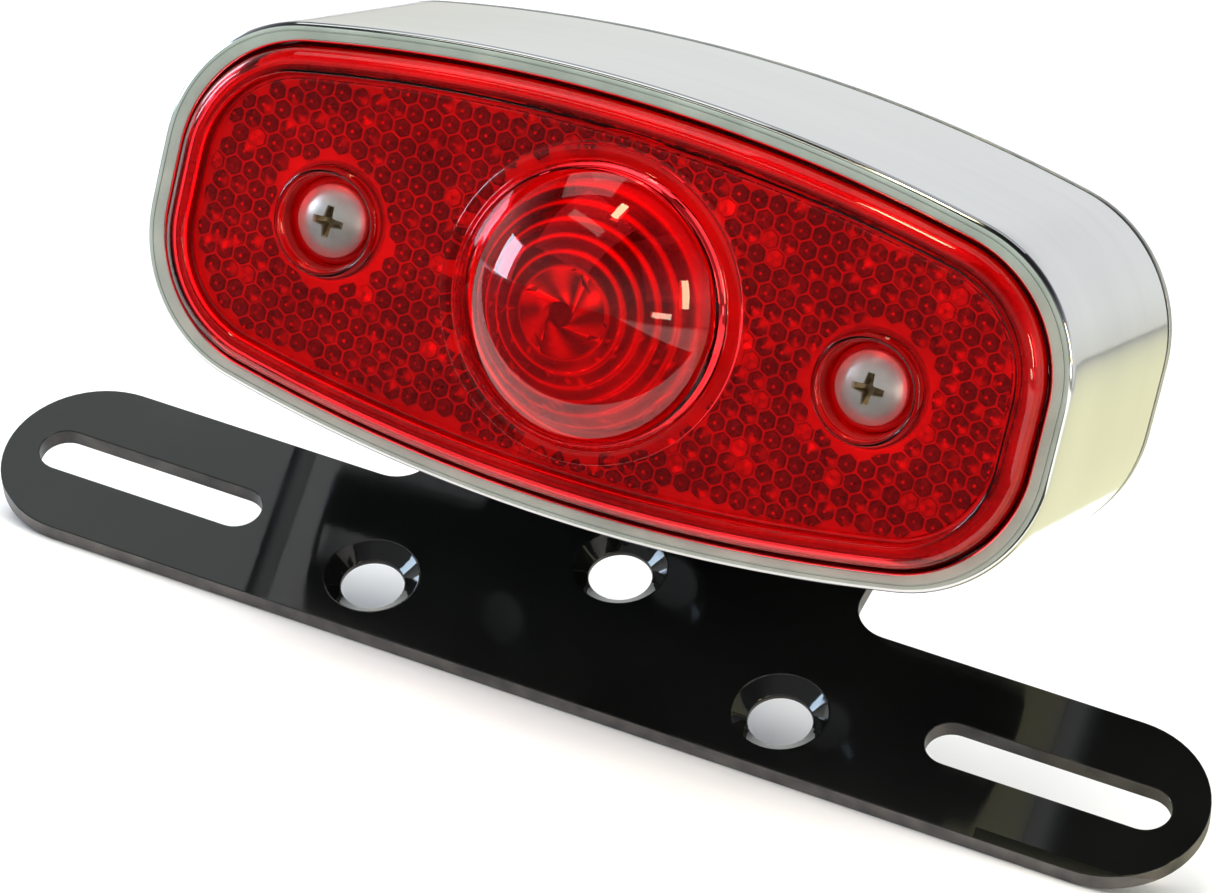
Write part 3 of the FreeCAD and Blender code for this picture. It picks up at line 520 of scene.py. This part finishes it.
def build_housing():
    """The shell with its rolled rim and ledge, and the window's hole cut through its underside."""
    bore = -0.15  # the lens's outline with a little room round it
    outer = [(0.12, SHELL_REAR_Y), (0.0, SHELL_REAR_Y - 0.12), (0.0, RIM_Y + 16.0), (0.0, RIM_Y + 4.0),
             (0.0, RIM_Y + 1.0)]
    outer += fillet(0.85, 180, 270, (0.85, RIM_Y + 0.85), 9)[1:]
    outer += [(0.98, RIM_Y), (1.02, RIM_Y + 0.06), (1.10, RIM_Y + 0.06), (1.14, RIM_Y), (1.6, RIM_Y),
              (2.1, RIM_Y)]
    inner = fillet(0.38, -90, 0, (bore - 0.38, RIM_Y + 0.38), 6)
    inner += [(bore, LENS_REAR_Y + 1.0), (3.4, LENS_REAR_Y + 1.0), (3.4, LENS_REAR_Y + 3.0),
              (bore, LENS_REAR_Y + 3.0), (bore, SHELL_REAR_Y - 0.1), (bore - 0.1, SHELL_REAR_Y)]
    shape = Shape()
    loops = [outline(HOUSING, inset, y) for inset, y in outer]
    loops += [outline(LENS, inset, y) for inset, y in inner]
    shape.bridge(loops, ring=True)
    shell = place("housing_shell", shape.mesh("housing_shell"), LAMP, SHELL, "polished_metal", "housing")

    hole = Shape()
    sweep = np.linspace(0.0, math.pi, 49)
    half = np.column_stack([WINDOW_RADIUS * np.cos(sweep), WINDOW_CENTRE_Y + WINDOW_RADIUS * np.sin(sweep)])
    plan = np.vstack([half, [(side * WINDOW_RADIUS, WINDOW_CENTRE_Y - 2.5) for side in (-1, 1)]])
    rows = hole.bridge([[(x, y, z) for x, y in plan] for z in (-60.0, -12.0)])
    hole.faces += [tuple(rows[0]), tuple(rows[1])]
    cut_away(shell, hole, "window_cutter")


# --- lens --------------------------------------------------------------------------------


def ball_y(radius, shrink):
    """Where a ball that lies this far under the dome's surface is, at this distance from the axis."""
    return DOME_CENTRE_Y - math.sqrt((DOME_BALL - shrink) ** 2 - radius ** 2)


def well_circles(radius, y):
    return [circle(radius, y, x) for x in (-WELL_X, WELL_X)]


def build_lens_skin():
    """The clear red moulding: lip, bead, groove, flat panel, two screw wells and the dome."""
    shape = Shape()
    border = [(PANEL_INSET, PANEL_Y), (4.45, PANEL_Y), (4.3, PANEL_Y + 0.03), (4.15, PANEL_Y + 0.30),
              (3.95, PANEL_Y + 0.34), (3.75, PANEL_Y + 0.25), (3.62, PANEL_Y - 0.5), (3.50, BEAD_Y + 0.45)]
    border += fillet(0.45, 0, -90, (3.05, BEAD_Y + 0.45), 5)[1:]
    border += [(0.28 + 1.95 * (1 - math.cos(a)), LENS_Y - (LENS_Y - BEAD_Y) * math.sin(a))
               for a in np.radians(np.linspace(82, 6, 14))]
    border += [(0.24, LENS_Y - 0.08), (0.08, LENS_Y + 0.02), (0.0, LENS_Y + 0.12), (0.0, LENS_REAR_Y - 0.1),
               (0.1, LENS_REAR_Y), (0.9, LENS_REAR_Y), (1.0, LENS_REAR_Y - 0.1), (1.0, LENS_Y + 0.4)]
    border += [(1.05 + 1.5 * (1 - math.cos(a)), LENS_Y + 0.4 - 2.3 * math.sin(a))
               for a in np.radians(np.linspace(8, 84, 8))]
    border += [(3.0, BEAD_Y + 1.5), (3.2, BEAD_Y + 2.2), (3.35, PANEL_BACK_Y - 0.1), (3.8, PANEL_BACK_Y),
               (PANEL_BACK_INSET, PANEL_BACK_Y)]
    shape.bridge([outline(LENS, inset, y) for inset, y in border])

    dome = [(DOME_HOLE, PANEL_Y), (19.85, PANEL_Y), (19.62, PANEL_Y - 0.06), (19.55, PANEL_Y - 0.25),
            (19.5, DOME_FOOT_Y + 0.1), (19.35, DOME_FOOT_Y), (18.2, DOME_FOOT_Y + 0.02),
            (17.95, DOME_FOOT_Y + 0.12), (17.85, DOME_FOOT_Y)]
    dome += [(r, ball_y(r, 0.0)) for r in DOME_EDGE * np.sin(np.radians(np.linspace(88, 3, 34)))]
    row = shape.bridge([circle(r, y) for r, y in dome])[-1]
    shape.cap(row, (0.0, APEX_Y, 0.0))
    hollow = [(DOME_BACK_HOLE, PANEL_BACK_Y), (16.3, PANEL_BACK_Y), (16.2, DOME_FOOT_Y + 0.4)]
    hollow += [(r, ball_y(r, SKIN_THICKNESS)) for r in 16.0 * np.sin(np.radians(np.linspace(90, 3, 28)))]
    row = shape.bridge([circle(r, y) for r, y in hollow])[-1]
    shape.cap(row, (0.0, APEX_Y + SKIN_THICKNESS, 0.0))

    well = [(WELL_HOLE, PANEL_Y), (7.25, PANEL_Y), (7.0, PANEL_Y)]
    well += [(6.5 + 0.45 * math.cos(a), PANEL_Y - 0.45 * math.sin(a))
             for a in np.radians(np.linspace(10, 170, 9))]
    well += [(5.95, PANEL_Y), (5.88, PANEL_Y + 0.12), (5.3, WELL_FLOOR_Y - 0.25), (5.1, WELL_FLOOR_Y - 0.03),
             (4.9, WELL_FLOOR_Y), (2.3, WELL_FLOOR_Y), (2.3, WELL_FLOOR_Y + 1.0), (5.9, WELL_FLOOR_Y + 1.0),
             (6.3, WELL_FLOOR_Y + 0.9), (6.9, PANEL_BACK_Y + 0.3), (7.25, PANEL_BACK_Y),
             (WELL_HOLE, PANEL_BACK_Y)]
    for x in (-WELL_X, WELL_X):
        shape.bridge([circle(r, y, x) for r, y in well])

    for inset, hole, y in ((PANEL_INSET, DOME_HOLE, PANEL_Y), (PANEL_BACK_INSET, DOME_BACK_HOLE, PANEL_BACK_Y)):
        shape.fill(outline(LENS, inset, y), [circle(hole, y)] + well_circles(WELL_HOLE, y))
    place("lens_moulding", shape.mesh("lens_moulding", 38.0), LAMP, RED, "red_lens", "lens")


def fresnel_rows():
    """Each stepped ring's section as (radius, y, tone)."""
    # Steps from a ring's inner or outer edge: the ball's radius there, the rise over it and the tone. The tones
    # are painted light and shade: bright ring edges, shaded slopes and steps, and every other ring's slope a
    # little lighter.
    opening = ((0.04, 0.0, 0.42, 0.60), (0.22, 0.22, 0.30, 0.42))
    slope = ((0.42, 0.42, 0.20, 0.12), (0.90, 0.90, -0.02, 0.05), (1.40, 1.40, -0.17, 0.12))
    closing = ((-0.14, -0.30, 0.44), (-0.02, -0.26, 0.66))
    rows = []
    for index in range(3, 8):
        start, end = index * RING_PITCH, (index + 1) * RING_PITCH
        lean = 0.04 * (index % 2)
        rows += [(start + out, ball_y(start + at, RING_DEPTH) + rise, tone) for out, at, rise, tone in opening]
        rows += [(start + out, ball_y(start + at, RING_DEPTH) + rise, tone + lean)
                 for out, at, rise, tone in slope]
        rows += [(end + out, ball_y(end, RING_DEPTH) + rise, tone) for out, rise, tone in closing]
    return rows


def build_core():
    """The patterned rear of the lens: cube-corner cells, stepped rings and the dome's swirl, with painted
    highlights and painted shade in their tones.
    """
    rng = np.random.default_rng(7)
    shape = Shape()
    edge = [(CORE_INSET, CORE_Y, 0.56), (3.5, CORE_Y - 0.3, 0.30), (3.05, BEAD_Y + 2.2, 0.30),
            (2.5, BEAD_Y + 1.75, 0.36), (1.9, BEAD_Y + 2.1, 0.42), (1.45, BEAD_Y + 2.7, 0.50),
            (1.15, LENS_Y + 0.4, 0.62), (1.1, LENS_REAR_Y, 0.20), (1.6, LENS_REAR_Y, 0.3),
            (2.6, BEAD_Y + 3.2, 0.3), (CORE_INSET, CORE_BACK_Y, 0.3)]
    shape.bridge([outline(LENS, inset, y) for inset, y, _ in edge], [tone for _, _, tone in edge])
    for y, hole, tone in ((CORE_Y, CORE_HOLE, 0.56), (CORE_BACK_Y, CORE_BACK_HOLE, 0.3)):
        shape.fill(outline(LENS, CORE_INSET, y), [circle(hole, y)] + well_circles(CUP_RADIUS, y), tone)
    cup_y = WELL_FLOOR_Y + 1.2
    cup = [(CUP_RADIUS, CORE_Y, 0.56), (7.2, CORE_Y + 0.3, 0.42), (6.7, cup_y, 0.55), (2.6, cup_y, 0.62),
           (2.6, cup_y + 0.6, 0.3), (7.3, cup_y + 0.6, 0.3), (CUP_RADIUS, CORE_BACK_Y, 0.3)]
    for x in (-WELL_X, WELL_X):
        shape.bridge([circle(radius, y, x) for radius, y, _ in cup], [tone for _, _, tone in cup])

    # The swirl: four blades that climb round a small disc, each running off it in a straight line.
    turns = np.linspace(0.0, 2 * math.pi, ROUND_STEPS, endpoint=False)
    blade_steps = ROUND_STEPS // 4
    phase = (np.arange(ROUND_STEPS) % blade_steps) / (blade_steps - 1)
    # Painted highlights on the blades: strength, direction, narrowness, distance from the axis and width.
    blade_painted_glints = ((0.60, 0.68, 0.012, 4.2, 0.8), (0.55, 1.4, 0.05, 2.2, 0.4), (0.50, 2.9, 0.04, 2.2, 0.5))
    loops, tones = [], []
    for radius in (1.32, 1.38, 1.6, 2.1, 2.7, 3.3, 3.9, 4.5, 5.0, 5.3):
        swept = turns + math.acos(1.3 / radius)
        swell = min(1.0, (radius - 1.32) / 0.3) * min(1.0, (5.5 - radius) / 0.3)
        y = ball_y(radius, RING_DEPTH) + swell * (1.1 * phase - 0.7)
        loops.append(np.column_stack([radius * np.cos(swept), y, radius * np.sin(swept)]))
        blade_painted_glint = sum(much * np.exp((np.cos(swept - way) - 1.0) / narrow - ((radius - middle) / width) ** 2)
                    for much, way, narrow, middle, width in blade_painted_glints)
        # Painted highlights: a bright line along each blade's edge, with the painted glints added on top.
        blade = np.where(phase > 0.94, 0.92, 0.22 + 0.30 * np.sin(3.0 * phase + turns) ** 2) + blade_painted_glint
        tones.append(blade if radius > 1.5 else np.full(ROUND_STEPS, 0.12))
    for radius, y, tone in fresnel_rows():
        loops.append(circle(radius, y))
        # Painted light: the rings are brighter towards the lower right, with painted glints in the lower half.
        ring_painted_light = 0.26 * np.clip(np.cos(turns + 0.9), 0.0, 1.0) * (tone < 0.55)
        ring_painted_glints = 0.30 * (rng.random(ROUND_STEPS) < 0.05) * (turns > 3.2)
        tones.append(tone + ring_painted_light + ring_painted_glints + 0.05 * np.sin(5 * turns + radius))
    loops += [circle(14.6, PANEL_Y - 1.2), circle(15.1, PANEL_Y + 0.6), circle(CORE_HOLE, CORE_Y)]
    tones += [0.5, 0.35, 0.56]
    rows = shape.bridge(loops, tones)
    shape.cap(rows[0], (0.0, ball_y(0.0, RING_DEPTH) + 0.1, 0.0), 0.08)
    inner = [circle(CORE_BACK_HOLE, CORE_BACK_Y), circle(14.0, PANEL_Y - 0.4)]
    inner += [circle(r, ball_y(r, CORE_HOLLOW_DEPTH))
              for r in 13.6 * np.sin(np.radians(np.linspace(88, 5, 14)))]
    rows = shape.bridge(inner)
    shape.cap(rows[-1], (0.0, ball_y(0.0, CORE_HOLLOW_DEPTH), 0.0))

    limit = np.array([(p[0], p[2]) for p in outline(LENS, CELL_INSET, 0.0)])

    def in_field(px, pz):
        clear = math.hypot(px, pz) > CELL_DOME_GAP and math.hypot(abs(px) - WELL_X, pz) > CELL_WELL_GAP
        return clear and inside(Vector((px, pz)), limit)

    # The cells: each a dimple whose rings of (size, rise) shrink towards the eye.
    around = np.linspace(0.0, 2 * math.pi, CELL_SIDES, endpoint=False)
    rings = ((1.20, 0.04), (1.16, -0.10), (1.02, -0.30), (0.70, -0.42), (0.34, -0.49), (0.16, -0.52))
    for line in range(-10, 10):
        for step in range(-26, 27):
            x = (step + 0.5 * (line % 2)) * CELL_PITCH_X
            z = (line + 0.5) * CELL_PITCH_Z
            if not in_field(x, z):
                continue
            tilt = rng.normal(0.0, 0.05, 2)
            base = 0.06 + 0.14 * rng.random()
            # Painted light on each cell: some cells bright and a crescent highlight on one side, more of both
            # towards the lower right, and a painted highlight speck at the middle.
            painted_light_lower_right = 0.5 + 0.5 * math.tanh((x - 1.5 * z) / 30.0)
            cell_painted_flare = 0.34 * (rng.random() < 0.03 + 0.10 * painted_light_lower_right)
            side = math.radians(rng.normal(-20.0, 50.0))
            cell_painted_glint = (0.16 + 0.34 * rng.random()) * (rng.random() < 0.35 + 0.35 * painted_light_lower_right)
            cell_painted_crescent = cell_painted_glint * np.clip(2.0 * np.cos(around - side) - 1.0, 0.0, 1.0)
            cell_painted_speck = 0.55 + 0.40 * rng.random()
            loops, tones = [], []
            for size, rise in rings:
                hexed = size * (1.0 + 0.05 * np.cos(6 * around - math.pi))
                px, pz = x + hexed * np.cos(around), z + hexed * np.sin(around)
                for i in range(CELL_SIDES):
                    while not in_field(px[i], pz[i]) and math.hypot(px[i] - x, pz[i] - z) > 0.05:
                        px[i], pz[i] = px[i] + (x - px[i]) * 0.15, pz[i] + (z - pz[i]) * 0.15
                y = CORE_Y + rise + tilt[0] * (px - x) + tilt[1] * (pz - z)
                loops.append(np.column_stack([px, y, pz]))
                # Painted shade: every other facet of a cell is darker.
                facet_painted_shade = 0.10 * (np.floor(around / (math.pi / 3)) % 2)
                tones.append(base + cell_painted_flare + facet_painted_shade + cell_painted_crescent)
            tones[0] = np.full(CELL_SIDES, 0.50)
            tones[1] = 0.26 + cell_painted_crescent
            tones[-1] = np.full(CELL_SIDES, 0.5 * cell_painted_speck)
            rows = shape.bridge(loops, tones)
            shape.cap(rows[-1], (x, CORE_Y - 0.53, z), cell_painted_speck)
            shape.faces.append(tuple(rows[0]))
    place("lens_reflector", shape.mesh("lens_reflector", 24.0), LAMP, CORE, "red_lens")


# --- screws and studs --------------------------------------------------------------------


def build_screws():
    """Round-head screws with a cross recess and a thread."""
    shape = Shape()
    for x in (-WELL_X, WELL_X):
        head = [(r, HEAD_TOP_Y + HEAD_BALL - math.sqrt(HEAD_BALL ** 2 - r ** 2))
                for r in HEAD_RADIUS * np.sin(np.radians(np.linspace(3, 76, 30)))]
        head += [(HEAD_RADIUS - 0.03, WELL_FLOOR_Y - 1.06), (HEAD_RADIUS, WELL_FLOOR_Y - 0.9),
                 (HEAD_RADIUS, WELL_FLOOR_Y - 0.2), (HEAD_RADIUS - 0.1, WELL_FLOOR_Y - 0.02),
                 (HEAD_RADIUS - 0.3, WELL_FLOOR_Y), (2.2, WELL_FLOOR_Y), (2.0, WELL_FLOOR_Y + 0.2)]
        rows = shape.bridge([circle(r, y, x, SCREW_STEPS) for r, y in head])
        shape.cap(rows[0], (x, HEAD_TOP_Y, 0.0))
        end = screw_y[1]
        shape.bridge(thread_loops(x, 2.0, 0.28, 0.7, WELL_FLOOR_Y + 0.2, end - 0.6, SCREW_STEPS))
        rows = shape.bridge([circle(2.0, end - 0.6, x, SCREW_STEPS), circle(1.4, end, x, SCREW_STEPS)])
        shape.cap(rows[-1], (x, end, 0.0))
    screws = place("lens_screw_pair", shape.mesh("lens_screw_pair"), LAMP, STEEL, "stainless", "lens_screws")

    cross = Shape()
    for x in (-WELL_X, WELL_X):
        loops = []
        for span, width, sunk in ((2.45, 0.66, -0.6), (2.15, 0.58, 0.15), (1.75, 0.44, 0.9), (0.7, 0.32, 1.6)):
            y = HEAD_TOP_Y + sunk
            quarter = [(span, -width * 0.8), (span, width * 0.8), (width * 1.25, width), (width, width * 1.25)]
            loop = []
            for turn in range(4):
                c, s = (1, 0, -1, 0)[turn], (0, 1, 0, -1)[turn]
                loop += [(x + c * a - s * b, y, s * a + c * b) for a, b in quarter]
            loops.append(loop)
        rows = cross.bridge(loops)
        cross.faces += [tuple(rows[0]), tuple(rows[-1])]
    cut_away(screws, cross, "recess_cutter")


def thread_loops(x, radius, depth, pitch, y0, y1, count):
    """Loops of a V thread, each a step further along the screw."""
    turn = np.linspace(0.0, 1.0, count, endpoint=False)
    loops = []
    for y in np.linspace(y0, y1, round(8 * (y1 - y0) / pitch) + 1):
        phase = (y / pitch + turn) % 1.0
        fade = min(1.0, (y - y0) / pitch, (y1 - y) / pitch)
        r = radius - depth * max(0.0, fade) * np.minimum(1.0, 2.2 * np.abs(phase - 0.5))
        loops.append(np.column_stack([x + r * np.cos(2 * math.pi * turn), np.full(count, y),
                                      r * np.sin(2 * math.pi * turn)]))
    return loops


def build_studs():
    """Flat-head studs from inside the light, with a cut thread behind the bracket."""
    (x0, x1), (y0, y1), (z0, z1) = spans("mounting_studs")
    head = (z1 - z0) / 2
    shape = Shape()
    for x in (x0 + head, x1 - head):
        front = [(head - 0.3, y0), (head, y0 + 0.3), (head, y0 + 1.25), (head - 0.12, y0 + 1.4),
                 (2.7, y0 + 1.4), (2.7, 8.1), (3.0, 8.2)]
        rows = shape.bridge([circle(r, y, x, STUD_STEPS) for r, y in front])
        shape.cap(rows[0], (x, y0, 0.0))
        shape.bridge(thread_loops(x, 3.0, 0.45, 1.0, 8.2, y1 - 0.5, STUD_STEPS))
        tip = [(3.0, y1 - 0.5), (2.5, y1 - 0.1), (2.35, y1)]
        rows = shape.bridge([circle(r, y, x, STUD_STEPS) for r, y in tip])
        shape.cap(rows[-1], (x, y1, 0.0))
    place("stud_pair", shape.mesh("stud_pair"), LAMP, ZINC, "zinc_steel", "mounting_studs")


# --- CAD pieces with eased edges ---------------------------------------------------------


def ease(node_name, new_name, width, finish, slot, segments=2):
    """A piece made from a node's own shape, with its sharp edges rounded over."""
    work = bmesh.new()
    work.from_mesh(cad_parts[node_name].data)
    bmesh.ops.remove_doubles(work, verts=work.verts, dist=2e-6)
    bmesh.ops.dissolve_limit(work, angle_limit=math.radians(0.4), verts=work.verts, edges=work.edges)
    data = bpy.data.meshes.new(new_name)
    work.to_mesh(data)
    work.free()
    piece = place(new_name, data, LAMP, finish, slot, node_name)
    rounding = piece.modifiers.new("edges", "BEVEL")
    rounding.width = width * MM
    rounding.segments = segments
    rounding.limit_method = "ANGLE"
    rounding.angle_limit = math.radians(32)
    rounding.use_clamp_overlap = True
    soften(piece.data, 180.0)
    even = piece.modifiers.new("normals", "WEIGHTED_NORMAL")
    even.keep_sharp = False
    settle(piece)
    return piece


build_housing()
build_lens_skin()
build_core()
build_screws()
build_studs()
ease("number_plate_bracket", "bracket_plate", 0.28, BLACK, "black_powder_coat", 3)
ease("back_plate", "rear_cover", 0.15, ZINC, "zinc_steel")
ease("housing_gasket", "rear_gasket", 0.12, RUBBER, "black_rubber")
ease("stud_nuts", "hex_nuts", 0.15, ZINC, "zinc_steel")
ease("flat_washers", "plain_washers", 0.15, ZINC, "zinc_steel")
ease("lock_washers", "split_washers", 0.12, SPRING, "spring_steel")
ease("socket_rear_plug", "rubber_plug", 0.25, RUBBER, "black_rubber", 3)
ease("socket_rivets", "rivet_heads", 0.35, PLATED, "plated_post", 4)
ease("lens_posts", "threaded_posts", 0.2, PLATED, "plated_post", 3)
ease("plate_window", "clear_window", 0.08, PLASTIC, "clear_plastic")
coil = ease("contact_spring", "contact_coil", 0.12, SPRING, "spring_steel")
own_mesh(coil)

for name, finish in {"lens_gasket": RUBBER, "socket_shell": SOCKET, "socket_flange": SOCKET,
                     "contact_carrier": BROWN, "carrier_contacts": BRASS,
                     "bulb_base": NICKEL, "bulb_pins": NICKEL, "bulb_base_insulator": VITRITE,
                     "bulb_contacts": SOLDER, "bulb_glass": GLASS, "bulb_stem": GLASS,
                     "bulb_filaments": TUNGSTEN, "bulb_support_wires": TUNGSTEN}.items():
    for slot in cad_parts[name].material_slots:
        slot.material = finish

# --- floor, light and surroundings -------------------------------------------------------

floor_shape = Shape()
floor_z = cad_box[0][2] / MM - 0.05
steps = np.linspace(-2500.0, 2500.0, 9)
grid = [floor_shape.add([(x, y, floor_z) for x in steps]) for y in steps]
for a, b in zip(grid, grid[1:]):
    floor_shape.faces += [(a[i], a[i + 1], b[i + 1], b[i]) for i in range(len(a) - 1)]
floor = bpy.data.objects.new("floor", floor_shape.mesh("floor"))
floor.data.materials.append(stuff("pale_floor", (0.86, 0.86, 0.86), (0.90, 0.90, 0.90), 3.0, (0.7, 0.85)))
bpy.context.collection.objects.link(floor)


def lamp(name, spot, size, power, colour, seen=True):
    """A soft panel that shines on the piece; where it isn't seen, it isn't mirrored either."""
    data = bpy.data.lights.new(name, "AREA")
    data.shape = "RECTANGLE"
    data.size, data.size_y = size
    data.energy = power
    data.color = colour
    made = bpy.data.objects.new(name, data)
    bpy.context.collection.objects.link(made)
    aim_at = Vector((0.0, 0.0, 0.0)) - Vector(spot)
    made.matrix_world = Matrix.Translation(spot) @ aim_at.to_track_quat("-Z", "Y").to_matrix().to_4x4()
    made.visible_glossy = seen
    made.visible_camera = False


lamp("key", (-0.6, -1.0, 1.3), (1.6, 1.6), 26.0, (1.0, 0.99, 0.97), seen=False)
lamp("fill", (1.2, -0.6, 1.0), (1.4, 1.4), 10.0, (1.0, 0.97, 0.92), seen=False)
lamp("top", (0.0, 0.3, 1.6), (2.4, 2.4), 26.0, (1.0, 1.0, 1.0), seen=False)
lamp("window_front", (-1.50, -0.57, 0.20), (0.42, 0.62), 12.0, (0.62, 0.80, 1.0))
lamp("window_back", (-1.50, 0.53, 0.36), (0.50, 0.60), 7.0, (0.66, 0.80, 1.0))
lamp("tube", (-0.06, -0.39, 1.10), (0.10, 0.26), 1.5, (1.0, 0.94, 0.55))
lamp("side_warm", (1.15, -0.42, 0.42), (0.12, 0.40), 2.6, (1.0, 0.84, 0.50))
lamp("side_low", (1.0, -0.75, 0.10), (0.30, 0.08), 0.9, (1.0, 0.92, 0.70))
lamp("overhead_left", (-0.52, 0.01, 1.06), (0.46, 0.60), 1.0, (0.92, 1.0, 0.98))
lamp("skylight", (-0.2, 0.75, 1.5), (1.6, 1.1), 3.0, (0.95, 0.98, 1.0))
lamp("edge_strip", (-0.35, -0.60, 0.88), (0.55, 0.12), 0.35, (1.0, 0.96, 0.84))


def card(name, corners, finish):
    """A sheet just above the floor that only the polished parts mirror."""
    sheet = Shape()
    sheet.faces.append(tuple(sheet.add([(x, y, floor_z + 3.0) for x, y in corners])))
    made = bpy.data.objects.new(name, sheet.mesh(name))
    made.data.materials.append(finish)
    bpy.context.collection.objects.link(made)
    made.visible_camera = made.visible_diffuse = made.visible_shadow = made.visible_transmission = False


cream, tree, shader = blank("cream_card")
cream_tint = ramp(tree, axis(tree, place_in(tree), "X"),
                  (0.12, (0.60, 0.59, 0.38)), (0.45, (0.60, 0.60, 0.48)), (1.0, (0.58, 0.60, 0.58)))
tree.links.new(cream_tint, shader.inputs["Base Color"])
card("cream_card", [(58, -40), (2400, -300), (2400, 2400), (58, 2400)], cream)
card("grey_flag", [(-2300, -2300), (900, -2300), (190, -68), (-900, -68)],
     stuff("flag_cloth", (0.022, 0.022, 0.024), (0.034, 0.034, 0.036), 8.0, (0.8, 0.95)))

world = bpy.data.worlds.new("surroundings")
bpy.context.scene.world = world
world.use_nodes = True
sky = world.node_tree
way = node(sky, "ShaderNodeTexCoord").outputs["Generated"]
lifted = maths(sky, "MULTIPLY_ADD", axis(sky, way, "Z"), 0.5, 0.5)
glow = ramp(sky, lifted, (0.0, (0.95, 0.94, 0.90)), (0.49, (0.74, 0.74, 0.68)), (0.56, (0.82, 0.85, 0.83)),
            (0.65, (0.82, 0.84, 0.85)), (0.76, (0.26, 0.27, 0.30)), (0.86, (0.05, 0.05, 0.055)),
            (1.0, (0.02, 0.02, 0.02)))
# The side the lens faces is dimmer, so its gloss doesn't veil the red.
fade = node(sky, "ShaderNodeMapRange", {"Value": axis(sky, way, "Y"), "From Min": -0.30, "From Max": 0.10,
                                        "To Min": 0.40, "To Max": 1.0},
            interpolation_type="SMOOTHSTEP").outputs[0]
sky.links.new(glow, sky.nodes["Background"].inputs["Color"])
sky.links.new(fade, sky.nodes["Background"].inputs["Strength"])

bpy.context.view_layer.update()
